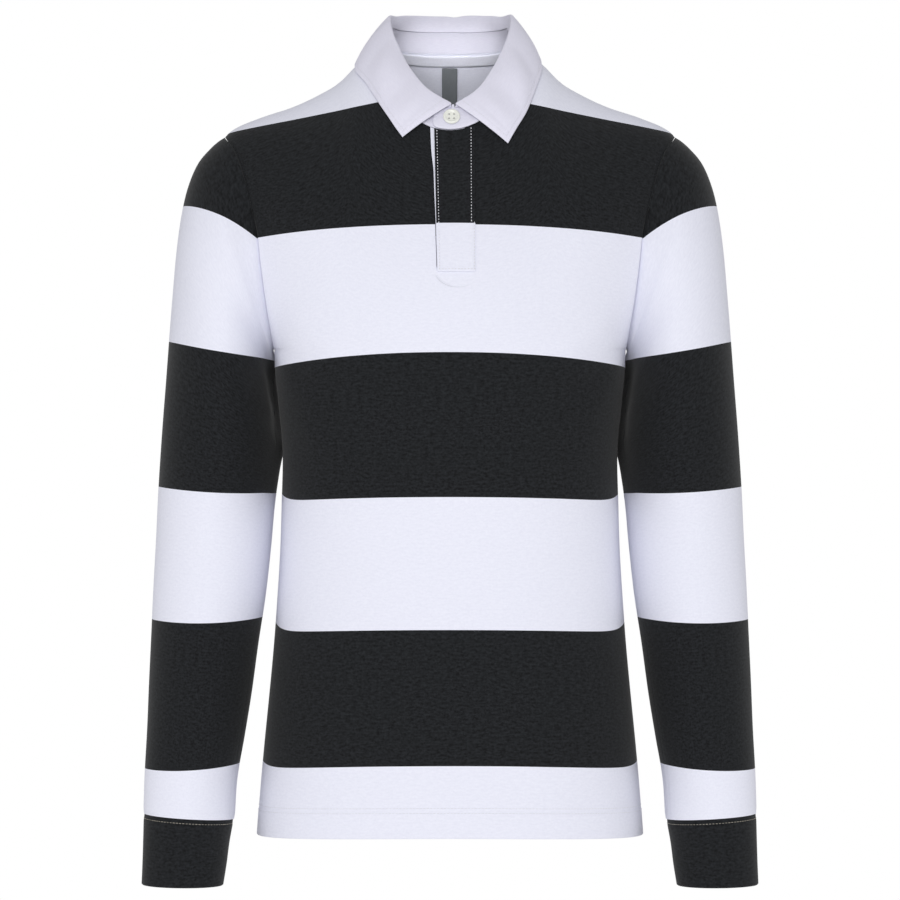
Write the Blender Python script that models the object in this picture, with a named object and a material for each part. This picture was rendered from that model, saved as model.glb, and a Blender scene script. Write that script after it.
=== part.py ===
"""Long-sleeve polo shirt with broad stripes, filled out as if worn.

Metres, +Z up, the front faces -Y. The origin lies between the shoulders at
the height where the wearer's shoulders carry the shirt. Every piece of cloth
is a thin wall on one shared form: the torso is a depth on each side of the
plane through the shoulder and side seams, and the sleeves are rings.
"""
import math

import bmesh
import bpy
import numpy as np

# Cloth walls and seams
WALL = 0.0015
TWILL = 0.0016
CUFF_WALL = 0.0024
THIN = 0.0010
GAP = 0.0003
SEAM = 0.0005
LAY = 0.0004
HANG = 0.0012
LEAF_SEAM = 0.0008

# Torso
HEM_Z = -0.6843
HEM_RISE = 0.0045
UNDERARM_Z = -0.250
TIP_X = 0.203
TIP_Z = -0.058
ARMHOLE_HALF = (TIP_Z - UNDERARM_Z) / 2
ARMHOLE_MID = (TIP_Z + UNDERARM_Z) / 2
ARMHOLE_DEPTH = 0.066
SIDE_POWER = 2.4
CHEST_POWER = 2.3
RIDGE_POWER = 1.6
LOW_ROWS = 9
ARM_ROWS = 12

# Neckline, placket and collar
NECK_X = 0.062
FRONT_DROP = 0.0835
BACK_DROP = 0.003
SLIT_LEFT = -0.0180
SLIT_LEFT_LOW = -0.0118
SLIT_RIGHT = 0.0175
SLIT_Z = -0.1800
PLACKET_LEFT = -0.0140
PLACKET_LEFT_LOW = -0.0110
PLACKET_RIGHT = 0.0222
PLACKET_Z = -0.1840
STAND_END = -0.0158
STAND_UNDER_END = 0.0130
STAND_SEAM_SHARE = 0.0192
STAND_ROUNDING = 0.62
STAND_OVERLAP_TURNS = (26, 42)
FOLD_RADIUS = 0.0028
LEAF_OVER_SEAM = 0.0036
LEAF_CLEAR = 0.0010
LEAF_TIP_LIFT = 0.0015
LEAF_PRESS_Z = 0.012
LEAF_END_TURN = 28

# Inside the neck, and the button
TAPE_TURNS = (110, 250)
TAPE_DROPS = (0.0010, 0.0055, 0.0100)
LABEL_DROP = 0.0106
LABEL_LENGTH = 0.052
LABEL_COLUMNS = (-0.0073, -0.0004, 0.0065)
LABEL_THICK = 0.0008
BUTTON_RADIUS = 0.0076
BUTTON_THICK = 0.0030
BUTTON_TURN = 1.5
BUTTON_SHARE = 0.56
BUTTON_SIDES = 20
# height and reach of the button's rings, as shares of its thickness and radius
BUTTON_RINGS = ((0.0, 0.75), (0.3, 1.0), (0.75, 1.0), (1.0, 0.9), (1.0, 0.70), (0.8, 0.64))

# Plain colours of the cloth and the button, linear
WHITE_JERSEY = (0.81, 0.82, 0.90)
BLACK_KNIT = (0.017, 0.018, 0.020)
WHITE_TWILL = (0.76, 0.75, 0.86)
GREY_TAPE = (0.60, 0.60, 0.68)
GREY_LABEL = (0.080, 0.089, 0.093)
PALE_RESIN = (0.85, 0.86, 0.80)
CLOTH_ROUGH = 0.85
RESIN_ROUGH = 0.35

# Half width of the torso by height: side seam, then armhole seam
TORSO_WIDTH = (
    # z, half width
    (-0.690, 0.1738), (-0.646, 0.1706), (-0.603, 0.1668), (-0.560, 0.1625),
    (-0.516, 0.1584), (-0.473, 0.1552), (-0.430, 0.1526), (-0.387, 0.1513),
    (-0.340, 0.1506), (-0.300, 0.1542), (-0.268, 0.1574), (-0.250, 0.1580), (-0.209, 0.1642),
    (-0.176, 0.1690), (-0.150, 0.1725), (-0.092, 0.1880), (-0.058, 0.2030),
)
# Depth of the front and of the back from the seam plane, on the centre line
TORSO_DEPTH = (
    # z, front, back
    (-0.690, 0.1180, 0.1080), (-0.580, 0.1130, 0.1020), (-0.450, 0.1090, 0.0960),
    (-0.330, 0.1150, 0.1030), (-0.220, 0.1190, 0.1120), (-0.140, 0.1060, 0.1120),
    (-0.056, 0.0780, 0.0990), (0.020, 0.0600, 0.0830), (0.080, 0.0500, 0.0700),
)
# Where the seam plane lies by height
SEAM_PLANE = (
    # z, y
    (-0.690, 0.000), (-0.400, 0.000), (-0.250, 0.002), (-0.058, 0.006), (0.080, 0.004),
)
# Top of the shoulder from the neck outwards
RIDGE = (
    # x, z
    (-0.0175, 0.0720), (0.0000, 0.0730), (0.0175, 0.0720), (0.0360, 0.0600),
    (0.0500, 0.0440), (0.0620, 0.0260), (0.0846, 0.0062),
    (0.0995, -0.0088), (0.1173, -0.0196), (0.1402, -0.0304), (0.1720, -0.0412),
    (0.1960, -0.0520), (0.2030, -0.0580),
)
# Columns of the panels at their top edge: neckline, then shoulder
NECK_TURNS = (37, 46, 55, 64, 73, 82, 90)
NECK_COLUMNS = (0.0, SLIT_RIGHT, 0.0260) + tuple(NECK_X * math.sin(math.radians(t)) for t in NECK_TURNS)
SHOULDER_COLUMNS = (0.0740, 0.0940, 0.1180, 0.1420, 0.1650, 0.1840, 0.1975, 0.2030)

# Soft folds: a ridge (or a trough, height below 0) from one end to the other
FRONT_FOLDS = (
    # x0, z0, x1, z1, half width, height
    (0.150, -0.225, 0.095, -0.262, 0.016, 0.0030),
    (0.146, -0.262, 0.088, -0.300, 0.017, -0.0026),
    (0.140, -0.296, 0.104, -0.352, 0.016, 0.0022),
)
BACK_FOLDS = (
    # x0, z0, x1, z1, half width, height
    (0.126, -0.222, 0.072, -0.272, 0.020, 0.0022),
    (0.124, -0.274, 0.080, -0.330, 0.020, -0.0020),
    (0.110, -0.430, 0.030, -0.470, 0.024, -0.0022),
)

# Sleeve rings below the armhole: outer and inner end in the front view
SLEEVE = (
    # outer x, outer z, inner x, inner z, half depth, y, how far the inner side lies behind
    (0.2152, -0.0680, 0.1592, -0.2530, 0.0675, 0.006, 0.000),
    (0.2275, -0.0830, 0.1590, -0.2580, 0.0690, 0.006, 0.004),
    (0.2368, -0.1060, 0.1584, -0.2660, 0.0700, 0.006, 0.012),
    (0.2425, -0.1330, 0.1572, -0.2760, 0.0700, 0.005, 0.020),
    (0.2465, -0.1640, 0.1552, -0.2890, 0.0695, 0.004, 0.028),
    (0.2495, -0.1990, 0.1533, -0.3040, 0.0685, 0.003, 0.034),
    (0.2525, -0.2370, 0.1516, -0.3200, 0.0675, 0.002, 0.034),
    (0.2555, -0.2780, 0.1503, -0.3370, 0.0660, 0.001, 0.028),
    (0.2590, -0.3240, 0.1540, -0.3600, 0.0640, 0.000, 0.016),
    (0.2620, -0.3720, 0.1578, -0.3900, 0.0620, -0.002, 0.006),
    (0.2640, -0.4170, 0.1608, -0.4270, 0.0605, -0.004, 0.000),
    (0.2662, -0.4610, 0.1655, -0.4700, 0.0590, -0.007, 0.000),
    (0.2680, -0.5050, 0.1720, -0.5140, 0.0565, -0.011, 0.000),
    (0.2697, -0.5480, 0.1775, -0.5560, 0.0535, -0.016, 0.000),
    (0.2710, -0.5880, 0.1838, -0.5960, 0.0500, -0.021, 0.000),
    (0.2728, -0.6260, 0.1900, -0.6330, 0.0455, -0.026, 0.000),
    (0.2738, -0.6640, 0.1922, -0.6690, 0.0405, -0.031, 0.000),
)
CUFF = (
    # outer x, outer z, inner x, inner z, half depth, y, how far the inner side lies behind
    (0.2734, -0.6648, 0.1932, -0.6698, 0.0395, -0.0310, 0.0),
    (0.2738, -0.6860, 0.1968, -0.6900, 0.0372, -0.0330, 0.0),
    (0.2743, -0.7070, 0.1992, -0.7090, 0.0355, -0.0350, 0.0),
    (0.2750, -0.7270, 0.2022, -0.7280, 0.0345, -0.0370, 0.0),
)

# Collar leaf by side: fold line and outer edge from the centre back to the front
LEAF_LEFT = (
    # turn, fold x, fold y, fold z, edge x, edge y, edge z
    (180, 0.0000, 0.0600, 0.0560, 0.0000, 0.0800, 0.0080),
    (150, 0.0300, 0.0550, 0.0556, 0.0420, 0.0740, 0.0070),
    (125, 0.0470, 0.0380, 0.0548, 0.0690, 0.0500, 0.0080),
    (100, 0.0548, 0.0140, 0.0525, 0.0830, 0.0170, 0.0100),
    (82, 0.0535, -0.0080, 0.0400, 0.0840, -0.0200, 0.0020),
    (64, 0.0475, -0.0270, 0.0230, 0.0740, -0.0450, -0.0125),
    (46, 0.0370, -0.0430, 0.0020, 0.0620, -0.0690, -0.0325),
    (28, 0.0225, -0.0585, -0.0170, 0.0510, -0.0800, -0.0500),
    (0, 0.0016, -0.0640, -0.0325, 0.0420, -0.0850, -0.0630),
)
LEAF_RIGHT = (
    # turn, fold x, fold y, fold z, edge x, edge y, edge z
    (180, 0.0000, 0.0600, 0.0560, 0.0000, 0.0800, 0.0080),
    (150, 0.0310, 0.0550, 0.0558, 0.0420, 0.0740, 0.0070),
    (125, 0.0485, 0.0380, 0.0548, 0.0680, 0.0500, 0.0080),
    (100, 0.0560, 0.0140, 0.0523, 0.0775, 0.0170, 0.0110),
    (82, 0.0550, -0.0080, 0.0400, 0.0785, -0.0200, 0.0020),
    (64, 0.0495, -0.0270, 0.0230, 0.0735, -0.0450, -0.0160),
    (46, 0.0395, -0.0430, 0.0020, 0.0670, -0.0690, -0.0370),
    (28, 0.0260, -0.0595, -0.0180, 0.0590, -0.0800, -0.0545),
    (0, 0.0036, -0.0655, -0.0330, 0.0512, -0.0850, -0.0688),
)
# Top of the stand: the seam that carries the leaf
STAND_TOP = (
    # turn, x, y, z
    (0, 0.0000, -0.0625, -0.0385), (28, 0.0240, -0.0570, -0.0285), (46, 0.0380, -0.0460, -0.0080),
    (64, 0.0480, -0.0310, 0.0130), (82, 0.0530, -0.0110, 0.0310), (100, 0.0535, 0.0120, 0.0400),
    (125, 0.0460, 0.0370, 0.0410), (150, 0.0290, 0.0520, 0.0412), (180, 0.0000, 0.0570, 0.0415),
)


def curve(table, at, column=1, level_ends=False):
    """Read one column of a table smoothly at a value of its first column."""
    keys = [row[0] for row in table]
    values = [row[column] for row in table]
    if keys[0] > keys[-1]:
        keys.reverse()
        values.reverse()
    if at <= keys[0]:
        return values[0]
    if at >= keys[-1]:
        return values[-1]
    i = max(k for k in range(len(keys) - 1) if keys[k] <= at)
    slopes = [(values[k + 1] - values[k]) / (keys[k + 1] - keys[k]) for k in range(len(keys) - 1)]
    at_end = 0.0 if level_ends else 1.0
    start = slopes[i] * at_end if i == 0 else (slopes[i - 1] + slopes[i]) / 2
    end = slopes[i] * at_end if i == len(slopes) - 1 else (slopes[i] + slopes[i + 1]) / 2
    span = keys[i + 1] - keys[i]
    s = (at - keys[i]) / span
    return (values[i] * (1 + 2 * s) * (1 - s) ** 2 + values[i + 1] * s * s * (3 - 2 * s)
            + span * s * (1 - s) * (start * (1 - s) - end * s))


def ease(value, low, high):
    """Run from 0 at low to 1 at high without a corner."""
    s = min(max((value - low) / (high - low), 0.0), 1.0)
    return s * s * (3 - 2 * s)


def unit(vector):
    vector = np.asarray(vector, dtype=float)
    length = np.linalg.norm(vector, axis=-1, keepdims=True)
    return vector / np.maximum(length, 1e-12)


def half_width(z):
    return curve(TORSO_WIDTH, z)


def seam_y(z):
    return curve(SEAM_PLANE, z)


def fold_height(folds, x, z):
    """Sum of the soft folds at a place on one panel, the same on both sides."""
    total = 0.0
    for x0, z0, x1, z1, half, height in folds:
        along = np.array((x1 - x0, z1 - z0))
        place = np.array((abs(x) - x0, z - z0))
        s = float(place @ along) / float(along @ along)
        inside = min(max(s, 0.0), 1.0)
        away = float(np.linalg.norm(place - inside * along)) / half
        total += height * math.exp(-away * away) * ease(s, -0.35, 0.25) * ease(-s, -1.35, -0.6)
    return total


def torso_depth(x, z, front):
    """Distance of the panel from the seam plane at a place in the front view."""
    across = min(abs(x) / half_width(z), 1.0)
    middle = curve(TORSO_DEPTH, z, 1 if front else 2)
    height = min((z - ARMHOLE_MID) / ARMHOLE_HALF, 0.0)
    at_seam = ARMHOLE_DEPTH * math.sqrt(max(1 - height * height, 0.0))
    within = ARMHOLE_DEPTH * ease(z, UNDERARM_Z - 0.07, UNDERARM_Z + 0.11)
    near = across ** 10
    edge = at_seam * near + within * (1 - near)
    below = max(1 - across ** SIDE_POWER, 0.0) ** (1 / SIDE_POWER)
    above = 1 - across ** CHEST_POWER
    blend = ease(z, UNDERARM_Z - 0.03, UNDERARM_Z + 0.13)
    depth = edge + (middle - edge) * (below * (1 - blend) + above * blend)
    top = curve(RIDGE, across * TIP_X)
    rise = min(max((z - top) / ARMHOLE_HALF + 1, 0.0), 1.0)
    power = RIDGE_POWER + (2 - RIDGE_POWER) * across ** 2
    depth *= max(1 - rise ** power, 0.0) ** (1 / power)
    inside = 1 - ease(across, 0.82, 1.0)
    return depth + inside * fold_height(FRONT_FOLDS if front else BACK_FOLDS, x, z)


def torso_slope(x, z, front):
    """How fast a panel's depth changes along X and Z."""
    step = 0.001
    slope_x = (torso_depth(x + step, z, front) - torso_depth(x - step, z, front)) / (2 * step)
    slope_z = (torso_depth(x, z + step, front) - torso_depth(x, z - step, front)) / (2 * step)
    return slope_x, slope_z


def torso_normal(x, z, front):
    slope_x, slope_z = torso_slope(x, z, front)
    return unit((-slope_x, -1 if front else 1, -slope_z))


def torso_point(x, z, front, lift=0.0):
    """Place on the outside of a panel, moved out by lift along its normal."""
    facing = -1 if front else 1
    point = np.array((x, seam_y(z) + facing * torso_depth(x, z, front), z))
    if lift == 0.0:
        return point
    return point + lift * torso_normal(x, z, front)


def neck_z(x, front):
    """Height of the neckline seam."""
    side = math.sqrt(max(1 - (x / NECK_X) ** 2, 0.0))
    return curve(RIDGE, NECK_X) - (FRONT_DROP if front else BACK_DROP) * side


def slit_left(z):
    """The slit's left edge leans, so a sliver of the under placket shows."""
    return SLIT_LEFT_LOW + (SLIT_LEFT - SLIT_LEFT_LOW) * ease(z, SLIT_Z, -0.056)


def panel_grid(front):
    """Outer points of the front or back panel, from hem to neck and shoulder."""
    half = NECK_COLUMNS + SHOULDER_COLUMNS
    count = len(half) - 1
    tops = [-x for x in reversed(half[1:])] + list(half)
    facing = -1 if front else 1
    shares = [0.5 + 0.5 * math.sin(math.radians(-90 + 180 * k / ARM_ROWS)) for k in range(ARM_ROWS + 1)]
    rows = [(HEM_Z + (UNDERARM_Z - HEM_Z) * k / LOW_ROWS, None) for k in range(LOW_ROWS)]
    rows += [(None, share) for share in shares]
    grid = np.zeros((len(rows), len(tops), 3))
    for r, (level, share) in enumerate(rows):
        edge_z = level if share is None else UNDERARM_Z + (TIP_Z - UNDERARM_Z) * share
        mix = 1.0 if share is None else math.sqrt(1 - share)
        for c, top in enumerate(tops):
            index = abs(c - count)
            side = math.copysign(1, c - count)
            even = math.sin(math.pi / 2 * index / count)
            x = side * half_width(edge_z) * (even * mix + abs(top) / TIP_X * (1 - mix))
            z = edge_z
            if r == 0:
                z += HEM_RISE * (1 - even ** 2)
            if share is not None:
                crest = curve(RIDGE, min(abs(x), TIP_X))
                if abs(top) < NECK_X:
                    crest = min(crest, neck_z(top, front))
                z = UNDERARM_Z + (crest - UNDERARM_Z) * share
            if index <= 2:
                straight = ease(z, UNDERARM_Z - 0.04, SLIT_Z)
                place = slit_left(z) if front and side < 0 and index == 1 else top
                x = x * (1 - straight) + place * straight
            depth = torso_depth(x, z, front)
            if index == count and share is not None:
                depth = ARMHOLE_DEPTH * 2 * math.sqrt(max(share * (1 - share), 0.0))
            grid[r, c] = (x, seam_y(z) + facing * (GAP / 2 + depth), z)
    if front:
        level_slit(grid, count)
    return grid


def level_slit(grid, count):
    """Set the row nearest to the slit's end level with it between its edges."""
    row = slit_row(grid, count)
    for c in range(count - 1, count + 2):
        x = grid[row, c, 0]
        grid[row, c] = (x, seam_y(SLIT_Z) - GAP / 2 - torso_depth(x, SLIT_Z, True), SLIT_Z)


def slit_row(grid, count):
    return int(np.argmin(np.abs(grid[:, count, 2] - SLIT_Z)))


def beside_slit(grid):
    """Tell which cells of the front panel are cloth: all but those of the slit."""
    middle = grid.shape[1] // 2
    first = slit_row(grid, middle)

    def cloth(r, c):
        return r < first or c not in (middle - 1, middle)

    return cloth


def normals(grid, wrap):
    """Normals of a grid from its neighbours, round the columns if wrapped."""
    down = np.gradient(grid, axis=0)
    if wrap:
        across = (np.roll(grid, -1, axis=1) - np.roll(grid, 1, axis=1)) / 2
    else:
        across = np.gradient(grid, axis=1)
    return unit(np.cross(across, down))


def shell(name, outer, inner, colour, wrap=False, keep=None):
    """Closed wall between two grids of points, with its rims; keep drops cells."""
    rows, cols = outer.shape[:2]
    cells = cols if wrap else cols - 1
    mesh = bmesh.new()
    verts = {}

    def vert(layer, r, c):
        key = (layer, r, c % cols)
        if key not in verts:
            source = outer if layer == 0 else inner
            verts[key] = mesh.verts.new(source[r, c % cols])
        return verts[key]

    def kept(r, c):
        if wrap:
            c %= cols
        if r < 0 or r >= rows - 1 or c < 0 or c >= cells:
            return False
        return keep is None or keep(r, c)

    for r in range(rows - 1):
        for c in range(cells):
            if not kept(r, c):
                continue
            corners = ((r, c), (r, c + 1), (r + 1, c + 1), (r + 1, c))
            mesh.faces.new([vert(0, *k) for k in corners])
            mesh.faces.new([vert(1, *k) for k in reversed(corners)])
            beside_each = ((r - 1, c), (r, c + 1), (r + 1, c), (r, c - 1))
            for a, beside in enumerate(beside_each):
                if not kept(*beside):
                    start, end = corners[a], corners[(a + 1) % 4]
                    mesh.faces.new((vert(1, *start), vert(1, *end), vert(0, *end), vert(0, *start)))
    bmesh.ops.recalc_face_normals(mesh, faces=mesh.faces[:])
    if mesh.calc_volume(signed=True) < 0:
        bmesh.ops.reverse_faces(mesh, faces=mesh.faces[:])
    return place(name, mesh, colour, CLOTH_ROUGH)


def place(name, mesh, colour, rough):
    """Turn a bmesh into a named object with its own material."""
    data = bpy.data.meshes.new(name)
    mesh.to_mesh(data)
    mesh.free()
    data.shade_smooth()
    data.set_sharp_from_angle(angle=math.radians(40))
    material = bpy.data.materials.new(name)
    material.use_nodes = True
    shader = material.node_tree.nodes["Principled BSDF"]
    shader.inputs["Base Color"].default_value = (*colour, 1.0)
    shader.inputs["Roughness"].default_value = rough
    shader.inputs["Metallic"].default_value = 0.0
    data.materials.append(material)
    thing = bpy.data.objects.new(name, data)
    bpy.context.scene.collection.objects.link(thing)
    return thing


def clear_scene():
    for thing in list(bpy.data.objects):
        bpy.data.objects.remove(thing, do_unlink=True)


def armhole_loop(front, back, right):
    """Points of the armhole from the underarm over the front to the tip and back."""
    edge = -1 if right else 0
    front_edge = front[LOW_ROWS:, edge].copy()
    back_edge = back[LOW_ROWS:, edge].copy()
    for row in (0, -1):
        front_edge[row, 1] = (front_edge[row, 1] + back_edge[row, 1]) / 2
    return np.vstack((front_edge, back_edge[-2:0:-1]))


def tube_ring(row, count, side):
    """One ring of a sleeve or cuff: its ends in the front view and its depth."""
    outer_x, outer_z, inner_x, inner_z, half_depth, y, behind = row
    ring = np.zeros((count, 3))
    for k in range(count):
        turn = -math.pi / 2 + 2 * math.pi * k / count
        rise = math.sin(turn)
        ring[k, 0] = side * ((outer_x + inner_x) / 2 + (outer_x - inner_x) / 2 * rise)
        ring[k, 1] = y - half_depth * math.cos(turn) + behind * max(-rise, 0.0) ** 2
        ring[k, 2] = (outer_z + inner_z) / 2 + (outer_z - inner_z) / 2 * rise
    return ring


def sleeve_grid(loop, side):
    count = len(loop)
    rings = [loop] + [tube_ring(row, count, side) for row in SLEEVE]
    sideways = np.array((side, 0.0, 0.0))
    rings[0] = loop + unit(unit(rings[1] - loop) + sideways) * SEAM
    return np.array(rings)


def outward(grid, centre_of):
    """Normals of a tube that point away from its own middle line."""
    found = normals(grid, True)
    middle = centre_of(grid)
    flip = np.sign(np.sum(found * (grid - middle), axis=-1, keepdims=True))
    flip[flip == 0] = 1
    return found * flip


def ring_centre(grid):
    return grid.mean(axis=1, keepdims=True)


def mitred(own, shared, limit=1.35):
    """Length of the shared direction that keeps the wall's thickness."""
    share = np.sum(own * shared, axis=-1, keepdims=True)
    return shared * np.minimum(1 / np.maximum(share, 1e-6), limit)


def make_body():
    """Panels and sleeves, whose walls meet along shared directions at the seams."""
    panels = {True: panel_grid(True), False: panel_grid(False)}
    ways = {}
    for front, grid in panels.items():
        way = normals(grid, False)
        facing = -1 if front else 1
        way *= np.sign(way[LOW_ROWS, grid.shape[1] // 2, 1] * facing)
        flat = np.zeros(grid.shape[:2], dtype=bool)
        flat[:LOW_ROWS + 1, 0] = flat[:LOW_ROWS + 1, -1] = True
        for c in range(grid.shape[1]):
            if abs(grid[-1, c, 0]) >= NECK_X - 1e-6:
                flat[-1, c] = True
        way[flat, 1] = 0
        way = unit(way)
        for c in range(grid.shape[1]):
            if abs(grid[-1, c, 0]) <= NECK_X + 1e-6:
                turn = math.degrees(math.asin(min(max(grid[-1, c, 0] / NECK_X, -1.0), 1.0)))
                way[-1, c] = mitred(way[-1, c], neck_way(turn if front else 180 - turn))
        ways[front] = way
    for side, name in ((-1, "left"), (1, "right")):
        loop = armhole_loop(panels[True], panels[False], side > 0)
        grid = sleeve_grid(loop, side)
        way = outward(grid, ring_centre)
        edge = -1 if side > 0 else 0
        panel_way = np.vstack((ways[True][LOW_ROWS:, edge], ways[False][-2:LOW_ROWS:-1, edge]))
        shared = unit(panel_way + way[0])
        inner = grid - way * WALL
        inner[0] = grid[0] - mitred(way[0], shared) * WALL
        shell(f"sleeve_{name}", grid, inner, WHITE_JERSEY, wrap=True)
        count = len(panels[True]) - LOW_ROWS
        ways[True][LOW_ROWS + 1:, edge] = mitred(panel_way[1:count], shared[1:count])
        ways[False][LOW_ROWS + 1:-1, edge] = mitred(panel_way[count:], shared[count:])[::-1]
        ways[False][-1, edge] = ways[True][-1, edge]
    for front, name in ((True, "front_panel"), (False, "back_panel")):
        grid = panels[front]
        inner = grid - ways[front] * WALL
        shell(name, grid, inner, WHITE_JERSEY, keep=beside_slit(grid) if front else None)


def make_cuffs():
    count = 2 * ARM_ROWS
    for side, name in ((-1, "left"), (1, "right")):
        grid = np.array([tube_ring(row, count, side) for row in CUFF])
        way = outward(grid, ring_centre)
        shell(f"cuff_{name}", grid, grid - way * CUFF_WALL, BLACK_KNIT, wrap=True)


def neck_point(turn):
    """Neckline seam by its turn round the neck: 0 front, 90 right, 180 back."""
    x = NECK_X * math.sin(math.radians(turn))
    front = math.cos(math.radians(turn)) > 0
    return torso_point(x, neck_z(x, front), front)


def stand_top(turn):
    """Top edge of the stand by its turn round the neck."""
    turn = (turn + 180) % 360 - 180
    side = -1 if turn < 0 else 1
    x = curve(STAND_TOP, abs(turn), 1)
    y, z = (curve(STAND_TOP, abs(turn), column, level_ends=True) for column in (2, 3))
    return np.array((side * x, y, z))


def stand_out(turn):
    """Direction out of the stand's wall."""
    along = stand_top(turn + 1) - stand_top(turn - 1)
    up = stand_top(turn) - neck_point(turn)
    return unit(np.cross(along, up))


def neck_band(turn):
    """Direction out of the stand's wall at the neckline seam."""
    low = neck_point(turn)
    band = unit(np.cross(neck_point(turn + 1) - neck_point(turn - 1), stand_top(turn) - low))
    return band if band @ (low * (1, 1, 0)) > 0 else -band


def neck_way(turn):
    """Direction shared by the panel's and the stand's wall at the neckline."""
    x = NECK_X * math.sin(math.radians(turn))
    front = math.cos(math.radians(turn)) > 0
    way = neck_band(turn) + torso_normal(x, neck_z(x, front), front)
    if abs(math.cos(math.radians(turn))) < 0.001:
        way[1] = 0
    return unit(way)


def stand_track(turn):
    """How far the stand's upper end lies out over its under end."""
    return (TWILL + LAY) * (1 - ease(turn, *STAND_OVERLAP_TURNS))


def stand_point(turn, share, track):
    """Outer face of the stand: share 0 at the neckline, 1 at the leaf seam."""
    low = neck_point(turn)
    high = stand_top(turn)
    return low + (high - low) * share + stand_out(turn) * track


def make_stand():
    """One band whose rounded upper end lies over its under end at the front."""
    first = math.degrees(math.asin(STAND_END / NECK_X))
    last = 360 + math.degrees(math.asin(STAND_UNDER_END / NECK_X))
    back_turns = [180 - turn for turn in reversed(NECK_TURNS[:-1])] + [155, 168]
    right_turns = [18, 24, 30] + list(NECK_TURNS) + back_turns
    turns = [first, first + 2.5, -6, 0, 6, 12] + right_turns + [180]
    turns += [360 - turn for turn in reversed(right_turns)] + [348, 354, 360, last]
    shares = (STAND_SEAM_SHARE, 0.35, 0.68, 1.0)
    grid = np.zeros((len(turns), len(shares), 3))
    way = np.zeros_like(grid)
    for r, turn in enumerate(turns):
        track = stand_track(turn) if turn < 180 else 0.0
        for c, share in enumerate(shares):
            if r == 0:
                share = 0.5 + (share - 0.5) * STAND_ROUNDING
            grid[r, c] = stand_point(turn, share, track)
            way[r, c] = stand_out(turn)
        way[r, 0] = mitred(neck_band(turn), neck_way(turn))
    shell("collar_stand", grid, grid - way * TWILL, WHITE_TWILL)


def torso_gap(point):
    """Distance of a point outside the torso's outer surface, less than 0 inside."""
    x, y, z = point
    crest = curve(RIDGE, min(abs(x), TIP_X))
    away = abs(y - seam_y(z))
    if z >= crest:
        return math.hypot(z - crest, away)
    front = y < seam_y(z)
    slope_x, slope_z = torso_slope(x, z, front)
    return (away - torso_depth(x, z, front)) / math.sqrt(1 + slope_x ** 2 + slope_z ** 2)


def lay_on_torso(point, way, clear, pull):
    """Move a point along a direction until it lies clear of the torso."""
    step = 0.00025
    moved = point.copy()
    for _ in range(160):
        if torso_gap(moved) >= clear:
            break
        moved += way * step
    if pull:
        for _ in range(80):
            if torso_gap(moved - way * step) < clear:
                break
            moved -= way * step
    return moved


def leaf_stations():
    """Turn and table of each station along the leaf from its left to its right end."""
    turns = [0, 6, 12, 18, 24, 30] + list(NECK_TURNS)
    turns += [180 - turn for turn in reversed(NECK_TURNS[:-1])] + [155, 168, 180]
    stations = [(-turn, LEAF_LEFT) for turn in turns]
    stations += [(turn, LEAF_RIGHT) for turn in reversed(turns[:-1])]
    return stations


def leaf_values(turn, table):
    """Fold point and edge point of the leaf at one station."""
    side = -1 if table is LEAF_LEFT else 1
    values = [curve(table, abs(turn), column) for column in range(1, 7)]
    fold = np.array((side * values[0], values[1], values[2]))
    edge = np.array((side * values[3], values[4], values[5]))
    return fold, edge


def leaf_seam_turn(turn, end_x):
    """Turn of the stand that carries the leaf here: the leaf's ends reach end_x."""
    end_turn = math.degrees(math.asin(end_x / NECK_X))
    return turn + end_turn * max(1 - abs(turn) / LEAF_END_TURN, 0.0)


def make_leaf():
    """Leaf that rises from the stand, folds over and falls to its outer edge."""
    stations = leaf_stations()
    folds = np.array([leaf_values(*station)[0] for station in stations])
    edges = np.array([leaf_values(*station)[1] for station in stations])
    along = unit(np.gradient(folds, axis=0))
    top_side = []
    under_side = []
    for k, (turn, table) in enumerate(stations):
        up = unit(np.array((0.0, 0.0, 1.0)) - along[k][2] * along[k])
        out = np.cross(along[k], up)
        if out @ (folds[k] * (1, 1, 0)) < 0:
            out = -out
        right = table is LEAF_RIGHT
        track = stand_track(abs(turn)) if right else 0.0
        seam_turn = leaf_seam_turn(turn, folds[-1 if right else 0][0])
        low = stand_point(seam_turn, 1.0, track) + np.array((0.0, 0.0, LEAF_SEAM))
        centre = folds[k] - up * FOLD_RADIUS
        inner_radius = FOLD_RADIUS - TWILL
        top = [low - stand_out(seam_turn) * TWILL]
        under = [low]
        for degrees in (180, 135, 90, 45, 0):
            spoke = out * math.cos(math.radians(degrees)) + up * math.sin(math.radians(degrees))
            top.append(centre + spoke * FOLD_RADIUS)
            under.append(centre + spoke * inner_radius)
        start = under[-1]
        over = neck_point(seam_turn) + stand_out(seam_turn) * LEAF_OVER_SEAM
        fall = unit(edges[k] - start)
        face = unit(np.cross(along[k], fall))
        if face @ out < 0:
            face = -face
        tip = ease(-abs(turn), -60, 0)
        press = unit((0.0, edges[k][1], LEAF_PRESS_Z))
        end = lay_on_torso(edges[k], press, LEAF_CLEAR + LEAF_TIP_LIFT * tip, True)
        for share in (0.16, 0.33, 0.5, 0.67, 0.84, 1.0):
            straight = start + (end - start) * share
            bulge = max(float((over - start) @ face) + 0.0005, 0.003)
            bowed = straight + face * bulge * 4 * share * (1 - share)
            clear = LEAF_CLEAR + LEAF_TIP_LIFT * tip * share
            laid = lay_on_torso(bowed, face, clear, False)
            under.append(laid)
            top.append(laid + face * TWILL)
        top_side.append(top)
        under_side.append(under)
    shell("collar_leaf", np.array(top_side), np.array(under_side), WHITE_TWILL)


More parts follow.
